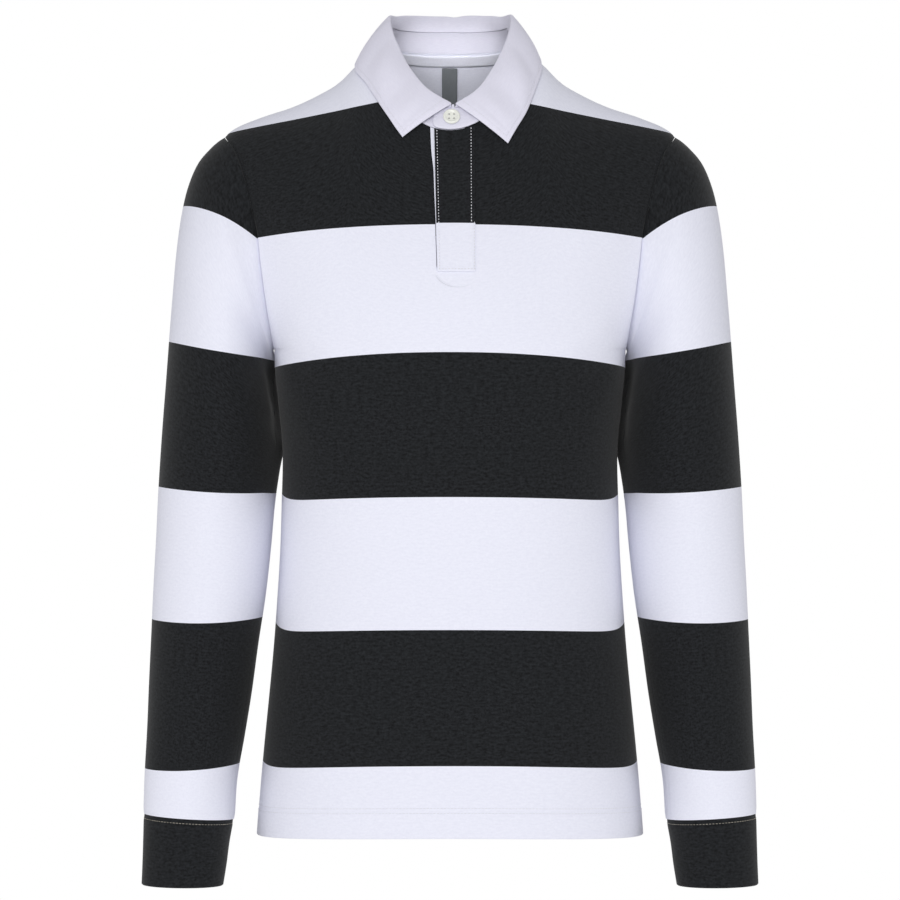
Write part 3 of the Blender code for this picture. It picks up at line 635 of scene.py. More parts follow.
# %% Neckline and stand
STAND_TOP = (
    # turn, x, y, z
    (0, 0.0000, -0.0625, -0.0385), (28, 0.0240, -0.0570, -0.0285), (46, 0.0380, -0.0460, -0.0080),
    (64, 0.0480, -0.0310, 0.0130), (82, 0.0530, -0.0110, 0.0310), (100, 0.0535, 0.0120, 0.0400),
    (125, 0.0460, 0.0370, 0.0410), (150, 0.0290, 0.0520, 0.0412), (180, 0.0000, 0.0570, 0.0415),
)
STAND_END = -0.0158
STAND_UNDER_END = 0.0130
STAND_SEAM_SHARE = 0.0192
STAND_OVERLAP_TURNS = (26, 42)
BRIDGE_X = 0.0033
BRIDGE_REACH = (0.0013, 0.0019)
BRIDGE_RISE = 0.0042


def mitred(own, shared, limit=1.35):
    """Length of the shared direction that keeps the wall's thickness."""
    share = np.sum(own * shared, axis=-1, keepdims=True)
    return shared * np.minimum(1 / np.maximum(share, 1e-6), limit)


def neck_point(turn):
    """Neckline seam by its turn round the neck: 0 front, 90 right, 180 back."""
    x = NECK_X * math.sin(math.radians(turn))
    front = math.cos(math.radians(turn)) > 0
    return torso_point(x, neck_z(x, front), front)


def stand_top(turn):
    """Top edge of the stand by its turn round the neck."""
    turn = (turn + 180) % 360 - 180
    side = -1 if turn < 0 else 1
    x = curve(STAND_TOP, abs(turn), 1)
    y, z = (curve(STAND_TOP, abs(turn), column, level_ends=True) for column in (2, 3))
    return np.array((side * x, y, z))


def stand_out(turn):
    """Direction out of the stand's wall."""
    along = stand_top(turn + 1) - stand_top(turn - 1)
    up = stand_top(turn) - neck_point(turn)
    return unit(np.cross(along, up))


def neck_band(turn):
    """Direction out of the stand's wall at the neckline seam."""
    low = neck_point(turn)
    band = unit(np.cross(neck_point(turn + 1) - neck_point(turn - 1), stand_top(turn) - low))
    return band if band @ (low * (1, 1, 0)) > 0 else -band


def neck_way(turn):
    """Direction shared by the panel's and the stand's wall at the neckline."""
    x = NECK_X * math.sin(math.radians(turn))
    front = math.cos(math.radians(turn)) > 0
    way = neck_band(turn) + torso_normal(x, neck_z(x, front), front)
    if abs(math.cos(math.radians(turn))) < 0.001:
        way[1] = 0
    return unit(way)


def stand_track(turn):
    """How far the stand's upper end lies out over its under end."""
    return (TWILL + LAY) * (1 - ease(turn, *STAND_OVERLAP_TURNS))


def stand_point(turn, share, track):
    """Outer face of the stand: share 0 at the neckline, 1 at the leaf seam."""
    low = neck_point(turn)
    high = stand_top(turn)
    return low + (high - low) * share + stand_out(turn) * track


# %% [markdown]
# ## Sleeves and cuffs
#
# A sleeve is a stack of rings. The first ring is the armhole itself, taken from the two
# panels; the others come from a table of their ends in the front view. Between the rings a
# spline runs through the same point of each, so the sleeve bends smoothly. Sleeve folds
# have their own table: how far round (0 is the outside of the arm, 90 the front) and how
# far down the rings they start and end.

# %% Sleeve tables
SLEEVE = (
    # outer x, outer z, inner x, inner z, half depth, y, how far the inner side lies behind
    (0.2152, -0.0680, 0.1592, -0.2530, 0.0675, 0.006, 0.000),
    (0.2275, -0.0830, 0.1583, -0.2582, 0.0690, 0.006, 0.010),
    (0.2368, -0.1060, 0.1575, -0.2665, 0.0700, 0.006, 0.018),
    (0.2425, -0.1330, 0.1568, -0.2765, 0.0700, 0.005, 0.024),
    (0.2465, -0.1640, 0.1552, -0.2890, 0.0695, 0.004, 0.028),
    (0.2495, -0.1990, 0.1533, -0.3040, 0.0685, 0.003, 0.034),
    (0.2525, -0.2370, 0.1516, -0.3200, 0.0675, 0.002, 0.034),
    (0.2555, -0.2780, 0.1503, -0.3370, 0.0660, 0.001, 0.028),
    (0.2590, -0.3240, 0.1540, -0.3600, 0.0640, 0.000, 0.016),
    (0.2620, -0.3720, 0.1578, -0.3900, 0.0620, -0.002, 0.006),
    (0.2640, -0.4170, 0.1608, -0.4270, 0.0605, -0.004, 0.000),
    (0.2662, -0.4610, 0.1655, -0.4700, 0.0590, -0.007, 0.000),
    (0.2680, -0.5050, 0.1720, -0.5140, 0.0565, -0.011, 0.000),
    (0.2697, -0.5480, 0.1775, -0.5560, 0.0535, -0.016, 0.000),
    (0.2710, -0.5880, 0.1838, -0.5960, 0.0500, -0.021, 0.000),
    (0.2728, -0.6260, 0.1900, -0.6330, 0.0455, -0.026, 0.000),
    (0.2738, -0.6640, 0.1922, -0.6690, 0.0405, -0.031, 0.000),
)
CUFF = (
    # outer x, outer z, inner x, inner z, half depth, y, how far the inner side lies behind
    (0.2734, -0.6648, 0.1932, -0.6698, 0.0395, -0.0310, 0.0),
    (0.2738, -0.6860, 0.1968, -0.6900, 0.0372, -0.0330, 0.0),
    (0.2743, -0.7070, 0.1992, -0.7090, 0.0355, -0.0350, 0.0),
    (0.2750, -0.7270, 0.2022, -0.7280, 0.0345, -0.0370, 0.0),
)
SLEEVE_FOLDS = (
    # turn0, ring0, turn1, ring1, half width in turns, height: 0 outside, 90 front, 180 inside
    (66, 1.8, 136, 2.0, 27, 0.0026),
    (250, 1.8, 300, 1.8, 27, 0.0020),
    (150, 2.6, 128, 4.2, 14, -0.0010),
    (168, 2.6, 112, 5.0, 16, 0.0012),
    (160, 2.5, 158, 8.5, 14, -0.0040),
    (160, 3.6, 116, 6.0, 14, -0.0018),
    (150, 6.2, 104, 7.8, 15, 0.0015),
    (150, 8.6, 96, 10.2, 17, -0.0011),
    (60, 5.4, 98, 7.4, 20, 0.0008),
    (192, 2.0, 250, 4.6, 14, 0.0020),
    (200, 4.0, 262, 6.4, 16, -0.0017),
    (206, 7.6, 280, 9.2, 18, 0.0013),
    (120, 11.8, 66, 13.2, 17, 0.0009),
    (236, 11.2, 300, 12.6, 18, 0.0012),
    (100, 14.6, 58, 15.6, 14, -0.0008),
)
SLEEVE_SEAM_TURN = 156
RING_STEPS = 7
CUFF_STITCH = 0.0033
CUFF_DIP = 0.0002
CUFF_ROWS = 24


def tube_ring(row, count, side):
    """One ring of a sleeve or cuff: its ends in the front view and its depth."""
    outer_x, outer_z, inner_x, inner_z, half_depth, y, behind = row
    ring = np.zeros((count, 3))
    for k in range(count):
        turn = -math.pi / 2 + 2 * math.pi * k / count
        rise = math.sin(turn)
        ring[k, 0] = side * ((outer_x + inner_x) / 2 + (outer_x - inner_x) / 2 * rise)
        ring[k, 1] = y - half_depth * math.cos(turn) + behind * max(-rise, 0.0) ** 2
        ring[k, 2] = (outer_z + inner_z) / 2 + (outer_z - inner_z) / 2 * rise
    return ring


def armhole_loop(front, back, right):
    """Points of the armhole from the underarm over the front to the tip and back."""
    edge = -1 if right else 0
    front_edge = front[LOW_ROWS:, edge].copy()
    back_edge = back[LOW_ROWS:, edge].copy()
    for row in (0, -1):
        front_edge[row, 1] = (front_edge[row, 1] + back_edge[row, 1]) / 2
    return np.vstack((front_edge, back_edge[-2:0:-1]))


def through_rings(rings, steps):
    """Smooth grid through a stack of rings, with steps rows from each to the next."""
    rings = np.array(rings)
    padded = np.concatenate((2 * rings[:1] - rings[1:2], rings, 2 * rings[-1:] - rings[-2:-1]))
    rows = []
    places = []
    for k in range(len(rings) - 1):
        before, start, end, after = padded[k:k + 4]
        for s in np.arange(steps) / steps:
            rows.append(0.5 * (2 * start + (end - before) * s + (2 * before - 5 * start + 4 * end - after) * s ** 2
                               + (3 * start - before - 3 * end + after) * s ** 3))
            places.append(k + s)
    rows.append(rings[-1])
    places.append(len(rings) - 1)
    return np.array(rows), np.array(places)


def outward(grid):
    """Normals of a tube that point away from its own middle line."""
    found = normals(grid, True)
    middle = grid.mean(axis=1, keepdims=True)
    flip = np.sign(np.sum(found * (grid - middle), axis=-1, keepdims=True))
    flip[flip == 0] = 1
    return found * flip


def round_height(places, turns, mirror):
    """Height of the sleeve folds on a grid of rings and turns round the arm."""
    total = np.zeros((len(places), len(turns)))
    for turn0, ring0, turn1, ring1, half, height in SLEEVE_FOLDS:
        shift = 0.35 * mirror
        along = np.array((turn1 - turn0, (ring1 - ring0) * 22))
        away_turn = (turns[None, :] - turn0 + 180) % 360 - 180
        away_ring = (places[:, None] - ring0 - shift) * 22
        s = (away_turn * along[0] + away_ring * along[1]) / (along @ along)
        inside = np.clip(s, 0.0, 1.0)
        off = np.hypot(away_turn - inside * along[0], away_ring - inside * along[1]) / half
        fade = np.clip((s + 0.35) / 0.6, 0, 1) * np.clip((1.35 - s) / 0.75, 0, 1)
        total += height * (1 - 0.18 * mirror) * np.exp(-off * off) * fade * fade * (3 - 2 * fade)
    return total


# %% Make the body's cloth
PIECES = {}
SURFACES = {}


def make_body():
    """Panels and sleeves, whose walls meet along shared directions at the seams."""
    panels = {True: panel_grid(True), False: panel_grid(False)}
    ways = {}
    for front, grid in panels.items():
        way = normals(grid, False)
        facing = -1 if front else 1
        way *= np.sign(way[LOW_ROWS, grid.shape[1] // 2, 1] * facing)
        flat = np.zeros(grid.shape[:2], dtype=bool)
        flat[:LOW_ROWS + 1, 0] = flat[:LOW_ROWS + 1, -1] = True
        for c in range(grid.shape[1]):
            if abs(grid[-1, c, 0]) >= NECK_X - 1e-6:
                flat[-1, c] = True
        way[flat, 1] = 0
        way = unit(way)
        for c in range(grid.shape[1]):
            if abs(grid[-1, c, 0]) <= NECK_X + 1e-6:
                turn = math.degrees(math.asin(min(max(grid[-1, c, 0] / NECK_X, -1.0), 1.0)))
                way[-1, c] = mitred(way[-1, c], neck_way(turn if front else 180 - turn))
        ways[front] = way
    for side, name in ((-1, "left"), (1, "right")):
        loop = armhole_loop(panels[True], panels[False], side > 0)
        count = len(loop)
        rings = [loop] + [tube_ring(row, count, side) for row in SLEEVE]
        sideways = np.array((side, 0.0, 0.0))
        rings[0] = loop + unit(unit(rings[1] - loop) + sideways) * SEAM
        grid, places = through_rings(rings, RING_STEPS)
        way = outward(grid)
        edge = -1 if side > 0 else 0
        panel_way = np.vstack((ways[True][LOW_ROWS:, edge], ways[False][-2:LOW_ROWS:-1, edge]))
        shared = unit(panel_way + way[0])
        turns = (180 - 360 * np.arange(count) / count) % 360
        heights = round_height(places, turns, side > 0)
        bumped = grid + way * heights[..., None]
        down = lengths(grid, 0)
        dip = SEAM_DIP * (np.exp(-(down / SEAM_REACH) ** 2) + np.exp(-((down[-1:] - down) / SEAM_REACH) ** 2))
        outer = bumped - way * dip[..., None]
        inner = bumped - way * WALL
        inner[0] = grid[0] - mitred(way[0], shared) * WALL
        course = np.array([[sleeve_course(point[0], point[2]) for point in row] for row in grid])
        SURFACES[f"sleeve_{name}"] = (outer, way)
        round_arm = lengths(grid, 1)
        seam = np.zeros(grid.shape[:2])
        for r, place in enumerate(places):
            spot = (180 - SLEEVE_SEAM_TURN - (180 - SLEEVE_SEAM_TURN) * (1 - ease(place, 0, 9))) / 360 * count
            seam[r] = 1.0 + np.abs(round_arm[r] - np.interp(spot, range(count), round_arm[r]))
        PIECES[f"sleeve_{name}"] = wall(f"cloth_sleeve_{name}", outer, inner, course, wrap=True, seam=seam)
        rows = len(panels[True]) - LOW_ROWS
        ways[True][LOW_ROWS + 1:, edge] = mitred(panel_way[1:rows], shared[1:rows])
        ways[False][LOW_ROWS + 1:-1, edge] = mitred(panel_way[rows:], shared[rows:])[::-1]
        ways[False][-1, edge] = ways[True][-1, edge]
    for front, name in ((True, "front_panel"), (False, "back_panel")):
        grid = panels[front]
        outer = seam_dip(grid, ways[front], ("left", "right", "top"))
        tuck, fuller = hem_profile(grid)
        outer = outer + ways[front] * (fuller - tuck)[..., None]
        inner = grid - ways[front] * (WALL + fuller - tuck)[..., None]
        course = np.array([[body_course(point[0], point[2]) for point in row] for row in grid])
        keep = beside_slit(grid) if front else None
        SURFACES[name] = (outer, ways[front])
        PIECES[name] = wall(f"cloth_{name}", outer, inner, course, keep=keep)


def make_cuffs():
    """Doubled cuffs: a tube whose lower edge is a round fold."""
    count = 2 * ARM_ROWS
    for side, name in ((-1, "left"), (1, "right")):
        grid, places = through_rings([tube_ring(row, count, side) for row in CUFF], CUFF_ROWS)
        way = outward(grid)
        down = lengths(grid, 0)
        low = np.clip((down - down[-1:] + CUFF_WALL / 2) / (CUFF_WALL / 2), 0, 1)
        tuck = CUFF_WALL / 2 * (1 - np.sqrt(1 - low ** 2 * 0.9))
        tuck += SEAM_DIP * np.exp(-(down / SEAM_REACH) ** 2)
        tuck += CUFF_DIP * np.exp(-((down - CUFF_STITCH) / 0.0010) ** 2)
        SURFACES[f"cuff_{name}"] = (grid - way * tuck[..., None], way)
        PIECES[f"cuff_{name}"] = wall(f"cloth_cuff_{name}", grid - way * tuck[..., None],
                                      grid - way * (CUFF_WALL - tuck)[..., None], wrap=True)


make_body()
make_cuffs()
for name, piece in PIECES.items():
    print(name, len(piece.data.polygons), "faces")


# %% [markdown]
# ## Collar
#
# A shirt collar has two pieces: a band that stands round the neck, and a leaf that is sewn
# to its top, folds over and falls to its points. The stand is a strip between the neckline
# and a table of its top edge. Its upper end lies over its under end at the front, where the
# button holds them. The leaf is a section swept round the neck: up, round the fold, down
# to the outer edge, kept clear of the shoulders.

# %% Collar tables
LEAF_LEFT = (
    # turn, fold x, fold y, fold z, edge x, edge y, edge z
    (180, 0.0000, 0.0600, 0.0560, 0.0000, 0.0800, 0.0080),
    (150, 0.0300, 0.0550, 0.0556, 0.0420, 0.0740, 0.0070),
    (125, 0.0470, 0.0380, 0.0548, 0.0690, 0.0500, 0.0080),
    (100, 0.0548, 0.0140, 0.0525, 0.0830, 0.0170, 0.0100),
    (82, 0.0535, -0.0080, 0.0400, 0.0840, -0.0200, 0.0020),
    (64, 0.0475, -0.0270, 0.0230, 0.0740, -0.0450, -0.0125),
    (46, 0.0370, -0.0430, 0.0020, 0.0620, -0.0690, -0.0325),
    (28, 0.0225, -0.0585, -0.0170, 0.0510, -0.0800, -0.0500),
    (0, -0.0015, -0.0646, -0.0328, 0.0420, -0.0850, -0.0630),
)
LEAF_RIGHT = (
    # turn, fold x, fold y, fold z, edge x, edge y, edge z
    (180, 0.0000, 0.0600, 0.0560, 0.0000, 0.0800, 0.0080),
    (150, 0.0310, 0.0550, 0.0558, 0.0420, 0.0740, 0.0070),
    (125, 0.0485, 0.0380, 0.0548, 0.0680, 0.0500, 0.0080),
    (100, 0.0560, 0.0140, 0.0523, 0.0790, 0.0170, 0.0110),
    (82, 0.0550, -0.0080, 0.0400, 0.0815, -0.0200, 0.0020),
    (64, 0.0495, -0.0270, 0.0230, 0.0764, -0.0450, -0.0160),
    (46, 0.0395, -0.0430, 0.0020, 0.0686, -0.0690, -0.0370),
    (28, 0.0260, -0.0595, -0.0180, 0.0590, -0.0800, -0.0545),
    (0, 0.0046, -0.0655, -0.0330, 0.0512, -0.0850, -0.0688),
)
LEAF_CREASES = (
    # x0, z0, x1, z1, half width, height: seen from the front
    (0.030, 0.010, 0.046, -0.012, 0.0045, 0.0008),
    (0.026, -0.004, 0.050, -0.030, 0.0050, -0.0007),
    (0.034, -0.030, 0.048, -0.046, 0.0040, 0.0005),
    (-0.060, -0.004, -0.046, -0.030, 0.0060, -0.0006),
    (-0.050, 0.024, -0.062, 0.004, 0.0060, 0.0007),
    (-0.030, -0.030, -0.046, -0.048, 0.0050, 0.0005),
)
FOLD_WAVES = (
    # x, half width, height: dents in the fold at the back of the neck
    (-0.0510, 0.0060, -0.0012), (-0.0300, 0.0120, 0.0006), (0.0045, 0.0050, -0.0010),
    (0.0200, 0.0110, 0.0007), (0.0460, 0.0050, -0.0011),
)
FOLD_RADIUS = 0.0019
LEAF_OVER_SEAM = 0.0036
LEAF_CLEAR = 0.0010
LEAF_TIP_LIFT = 0.0015
LEAF_PRESS_Z = 0.012
LEAF_END_TURN = 28
TURN_PARTS = 4
RISE_SHARES = (0.0, 0.2, 0.4, 0.6, 0.8)
EDGE_STEPS = (0.0085, 0.0065, 0.0053, 0.0047, 0.0041, 0.0035, 0.0029, 0.0018, 0.0008, 0.0004, 0.00012, 0.0)
STITCH_INSET = 0.0041
STITCH_DIP = 0.00025


# %% Laying cloth on the shoulders
def torso_gap(point):
    """Distance of a point outside the torso's outer surface, less than 0 inside."""
    x, y, z = point
    crest = curve(RIDGE, min(abs(x), TIP_X))
    away = abs(y - seam_y(z))
    front = y < seam_y(z)
    if abs(x) < NECK_X and z > neck_z(x, front):
        low = neck_z(x, front)
        return math.hypot(z - low, away - torso_depth(x, low, front))
    if z >= crest:
        return math.hypot(z - crest, away)
    slope_x, slope_z = torso_slope(x, z, front)
    return (away - torso_depth(x, z, front)) / math.sqrt(1 + slope_x ** 2 + slope_z ** 2)


def lay_on_torso(point, way, clear, pull):
    """Move a point along a direction until it lies clear of the torso."""
    step = 0.001
    near = torso_gap(point)
    if near >= clear and not pull:
        return point
    back = near >= clear
    sign = -1 if back else 1
    reach = 0.0
    for _ in range(20 if back else 40):
        reach += step
        if (torso_gap(point + way * sign * reach) >= clear) != back:
            break
    else:
        return point + way * sign * reach
    low, high = reach - step, reach
    for _ in range(6):
        half = (low + high) / 2
        if (torso_gap(point + way * sign * half) >= clear) != back:
            high = half
        else:
            low = half
    return point + way * sign * (low if back else high)


# %% Make the stand
def make_stand():
    """One band whose rounded upper end lies over its under end at the front."""
    first = math.degrees(math.asin(STAND_END / NECK_X))
    last = 360 + math.degrees(math.asin(STAND_UNDER_END / NECK_X))
    back_turns = [180 - turn for turn in reversed(NECK_TURNS[:-1])] + [155, 168]
    right_turns = [18, 24, 30] + list(NECK_TURNS) + back_turns
    ends = [first, first + 0.2, first + 0.7, first + 1.5, first + 2.8, first + 4.2, first + 5.5]
    turns = ends[:-1] + finer([ends[-1], -6, -2, 0, 1, 2, 3, 4, 5, 7, 12] + right_turns + [180], 3)
    turns += finer([180] + [360 - turn for turn in reversed(right_turns)] + [348, 354, 360, last], 3)[1:]
    shares = [STAND_SEAM_SHARE, 0.05, 0.1, 0.18] + list(np.linspace(0.27, 0.9, 8)) + [0.97, 1.0]
    grid = np.zeros((len(turns), len(shares), 3))
    way = np.zeros_like(grid)
    corner = 0.0050
    for r, turn in enumerate(turns):
        track = stand_track(turn) if turn < 180 else 0.0
        height = np.linalg.norm(stand_top(turn) - neck_point(turn))
        near = NECK_X * (math.sin(math.radians(turn)) - math.sin(math.radians(first))) if turn < 20 else 1.0
        inset = (corner - math.sqrt(max(corner ** 2 - (corner - near) ** 2, 0.0)) if near < corner else 0.0) / height
        off = abs(NECK_X * math.sin(math.radians(turn)) - BRIDGE_X) if turn < 20 else 1.0
        bridge = BRIDGE_RISE * (1 - ease(off, *BRIDGE_REACH)) / height
        for c, share in enumerate(shares):
            share = inset + share * (1 - 2 * inset) + bridge * ease(share, 0.85, 1.0)
            grid[r, c] = stand_point(turn, share, track)
            way[r, c] = stand_out(turn)
        way[r, 0] = mitred(neck_band(turn), neck_way(turn))
    low = np.array([SEAM_DIP * math.exp(-(share * 0.026 / 0.0015) ** 2) for share in shares])
    outer = grid - unit(way) * low[None, :, None]
    PIECES["collar_stand"] = wall("cloth_collar_stand", outer, grid - way * TWILL)


make_stand()


# %% Make the leaf
def leaf_values(turn, table):
    """Fold point and edge point of the leaf at one station."""
    side = -1 if table is LEAF_LEFT else 1
    values = [curve(table, abs(turn), column) for column in range(1, 7)]
    fold = np.array((side * values[0], values[1], values[2]))
    edge = np.array((side * values[3], values[4], values[5]))
    if abs(turn) > 90:
        for x, half, height in FOLD_WAVES:
            fold[2] += height * math.exp(-((fold[0] - x) / half) ** 2)
    return fold, edge


def leaf_seam_turn(turn, end_x):
    """Turn of the stand that carries the leaf here: the leaf's ends reach end_x."""
    end_turn = math.degrees(math.asin(end_x / NECK_X))
    return turn + end_turn * max(1 - abs(turn) / LEAF_END_TURN, 0.0)


def leaf_stations():
    """Turn and table of each station along the leaf from its left to its right end."""
    turns = [0, 0.15, 0.5, 1.0, 2.0, 2.8, 3.6, 4.4, 5.2, 6]
    turns += finer([6, 12, 18, 24, 30] + list(NECK_TURNS), TURN_PARTS)[1:]
    turns += finer([90] + [180 - turn for turn in reversed(NECK_TURNS[:-1])] + [155, 168, 180], TURN_PARTS)[1:]
    return [(-turn, LEAF_LEFT) for turn in turns] + [(turn, LEAF_RIGHT) for turn in reversed(turns[:-1])]


def make_leaf():
    """Leaf that rises from the stand, folds over and falls to its outer edge."""
    stations = leaf_stations()
    folds = np.array([leaf_values(*station)[0] for station in stations])
    edges = np.array([leaf_values(*station)[1] for station in stations])
    along = unit(folds[np.minimum(np.arange(len(folds)) + 1, len(folds) - 1)]
                 - folds[np.maximum(np.arange(len(folds)) - 1, 0)])
    from_end = np.minimum(lengths(edges, 0), lengths(edges[::-1], 0)[::-1])
    grids = ([], [], [])
    for k, (turn, table) in enumerate(stations):
        up = unit(np.array((0.0, 0.0, 1.0)) - along[k][2] * along[k])
        out = np.cross(along[k], up)
        if out @ (folds[k] * (1, 1, 0)) < 0:
            out = -out
        right = table is LEAF_RIGHT
        track = stand_track(abs(turn)) if right else 0.0
        seam_turn = leaf_seam_turn(turn, folds[-1 if right else 0][0])
        low = stand_point(seam_turn, 1.0, track) + np.array((0.0, 0.0, LEAF_SEAM))
        centre = folds[k] - up * FOLD_RADIUS
        seam_in = low - stand_out(seam_turn) * TWILL
        rise_top = centre - out * FOLD_RADIUS
        rise_under = centre - out * (FOLD_RADIUS - TWILL)
        dent = sum(height * math.exp(-((folds[k][0] - x) / half) ** 2) for x, half, height in FOLD_WAVES)
        dent *= 0.9 if folds[k][1] > 0.02 else 0.0
        top, under = [], []
        for share in RISE_SHARES:
            push = out * dent * math.sin(math.pi * share)
            top.append(seam_in + (rise_top - seam_in) * share + push)
            under.append(low + (rise_under - low) * share + push)
        over = neck_point(seam_turn) + stand_out(seam_turn) * LEAF_OVER_SEAM
        tip = ease(-abs(turn), -60, 0)
        press = unit((0.0, edges[k][1], LEAF_PRESS_Z))
        end = lay_on_torso(edges[k], press, LEAF_CLEAR + LEAF_TIP_LIFT * tip, True)
        last = 20.0
        for _ in range(3):
            spoke = out * math.cos(math.radians(last)) + up * math.sin(math.radians(last))
            start = centre + spoke * (FOLD_RADIUS - TWILL)
            face = unit(np.cross(along[k], unit(end - start)))
            if face @ out < 0:
                face = -face
            fall = np.linalg.norm(end - start)
            bulge = max(float((over - start) @ face) + 0.0005, 0.003)
            leave = end - start + face * bulge * 4
            last = math.degrees(math.atan2(leave @ out, -(leave @ up)))
        for degrees in np.linspace(180, last, 11):
            spoke = out * math.cos(math.radians(degrees)) + up * math.sin(math.radians(degrees))
            top.append(centre + spoke * FOLD_RADIUS)
            under.append(centre + spoke * (FOLD_RADIUS - TWILL))
        wide = [0.07 + (1 - EDGE_STEPS[0] / fall - 0.07) * n / 12 for n in range(12)]
        shares = wide + [1 - step / fall for step in EDGE_STEPS]
        ways = [unit(t - u) for t, u in zip(top, under)]
        for share in shares:
            straight = start + (end - start) * share
            bowed = straight + face * bulge * 4 * share * (1 - share)
            laid = lay_on_torso(bowed, face, LEAF_CLEAR + LEAF_TIP_LIFT * tip * share, False)
            if laid[1] < 0:
                laid = laid + face * max(fold_height(LEAF_CREASES, laid[0], laid[2]), 0.0) * ease(share, 0.02, 0.2)
            way = unit(face - (end - start) * bulge * 4 * (1 - 2 * share) * ease(-share, -0.5, 0.0) / fall ** 2)
            under.append(laid)
            top.append(laid + way * TWILL)
            ways.append(way)
        top, under, ways = np.array(top), np.array(under), np.array(ways)
        edge_far = np.concatenate((np.full(len(top) - len(shares), 1.0), (1 - np.array(shares)) * fall))
        near_edge = np.minimum(edge_far, from_end[k])
        low_edge = np.clip(1 - near_edge / (TWILL / 2), 0, 1)
        tuck = TWILL / 2 * (1 - np.sqrt(1 - 0.9 * low_edge ** 2))
        dip = STITCH_DIP * np.exp(-((near_edge - STITCH_INSET) / 0.0008) ** 2)
        for n in range(len(top)):
            if top[n][1] < 0 and edge_far[n] < 1:
                dip[n] -= min(fold_height(LEAF_CREASES, top[n][0], top[n][2]), 0.0)
        grids[0].append(top - ways * (tuck + dip)[:, None])
        grids[1].append(under + ways * tuck[:, None])
        grids[2].append(ways)
    outer, inner, ways = (np.array(grid) for grid in grids)
    PIECES["collar_leaf"] = wall("cloth_collar_leaf", outer, inner)
    return outer, ways, from_end


LEAF_TOP, LEAF_WAYS, LEAF_FROM_END = make_leaf()
print("leaf grid", LEAF_TOP.shape)

# %% [markdown]
# ## Half placket, neck tape and label
#
# The placket is two strips: the under one fills the slit, and the upper one lies over it
# with its folded edge on the viewer's left. The tape covers the seam inside the back of
# the neck, and the label hangs from it. All of them are made from points of the panel that
# they lie on, moved out or in along its normal.

# %% Placket, tape and label
PLACKET_LEFT = -0.0140
PLACKET_LEFT_LOW = -0.0110
PLACKET_RIGHT = 0.0222
PLACKET_Z = -0.1840
TAPE_TURNS = (110, 250)
TAPE_DROPS = (0.0010, 0.0012, 0.0016, 0.0025, 0.0040, 0.0055, 0.0070, 0.0085, 0.0094, 0.0098, 0.0100)
LABEL_DROP = 0.0106
LABEL_LENGTH = 0.052
LABEL_COLUMNS = (-0.0073, -0.0071, -0.0067, -0.0050, -0.0028, -0.0004, 0.0020, 0.0042, 0.0059, 0.0063, 0.0065)
LABEL_THICK = 0.0008


def patch(name, columns, rows, place_of, thick, course_of=None):
    """Flat-lying piece: place_of gives its point at a column, row and lift."""
    outer = np.array([[place_of(c, r, thick(c, r)) for c in columns] for r in rows])
    inner = np.array([[place_of(c, r, 0.0) for c in columns] for r in rows])
    course = None
    if course_of:
        course = np.array([[course_of(point[0], point[2]) for point in row] for row in outer])
    PIECES[name] = wall(f"cloth_{name}", outer, inner, course)
    return outer


def rim(value, low, high, width):
    """1 inside a span and round down to 0.3 at its two ends."""
    near = min(abs(value - low), abs(high - value)) / width
    return 0.3 + 0.7 * math.sqrt(max(1 - max(1 - near, 0.0) ** 2, 0.0))


def over_slit(across, share, lift):
    """Place on the upper placket: share 0 at its lower end, 1 at the neckline."""
    low_x = PLACKET_LEFT_LOW + (PLACKET_RIGHT - PLACKET_LEFT_LOW) * across
    high_x = PLACKET_LEFT + (PLACKET_RIGHT - PLACKET_LEFT) * across
    x = low_x + (high_x - low_x) * share
    z = PLACKET_Z + (neck_z(x, True) - SEAM - PLACKET_Z) * share
    return torso_point(x, z, True, LAY + lift)


def in_slit(across, share, lift):
    """A place on the under placket, inside the slit."""
    z = SLIT_Z + SEAM + (neck_z(0.0, True) - SEAM - SLIT_Z - SEAM) * share
    left = slit_left(z) + SEAM
    x = left + (SLIT_RIGHT - SEAM - left) * across
    z += (neck_z(x, True) - neck_z(0.0, True)) * share
    return torso_point(x, z, True, lift - WALL)


def placket_lift(across, share):
    """Thickness of the upper placket: a full folded edge, flat where it is sewn down."""
    edge = rim(across, 0.0, 2.0, 0.022) * rim(share, 0.0, 2.0, 0.006)
    stitched = math.exp(-((across - 0.055) / 0.02) ** 2) + math.exp(-((across - 0.905) / 0.02) ** 2)
    return WALL * edge * (1 - 0.12 * stitched) * (1 - 0.72 * ease(across, 0.90, 1.0))


def placket_course(x, z):
    """The stripe count on the placket, a little lifted."""
    return body_course(x, z, 0.0012)


ACROSS = (0.0, 0.004, 0.012, 0.022, 0.035, 0.055, 0.075, 0.11, 0.2, 0.32, 0.44, 0.56, 0.68, 0.8, 0.86, 0.885,
          0.905, 0.925, 0.95, 0.975, 0.99, 1.0)
ALONG = [0.0, 0.001, 0.003, 0.006, 0.012, 0.02, 0.03, 0.045] + list(np.linspace(0.07, 1.0, 40))
PLACKET_TOP = patch("placket_upper", ACROSS, ALONG, over_slit, placket_lift, placket_course)
patch("placket_under", np.linspace(0, 1, 12), np.linspace(0, 1, 40), in_slit, lambda c, r: WALL)


def tape_place(turn, drop, lift):
    """A place on the neck tape, inside the back neck seam."""
    x = NECK_X * math.sin(math.radians(turn))
    return torso_point(x, neck_z(x, False) - drop, False, -WALL - HANG - lift)


def label_place(x, z, lift):
    """A place on the label, its edges slightly curled."""
    curl = 0.0006 * (x / 0.007) ** 2 + 0.0012 * ease(-z, -0.005, 0.05)
    return torso_point(x, z, False, -WALL - 2 * HANG - lift - curl * 0.5)


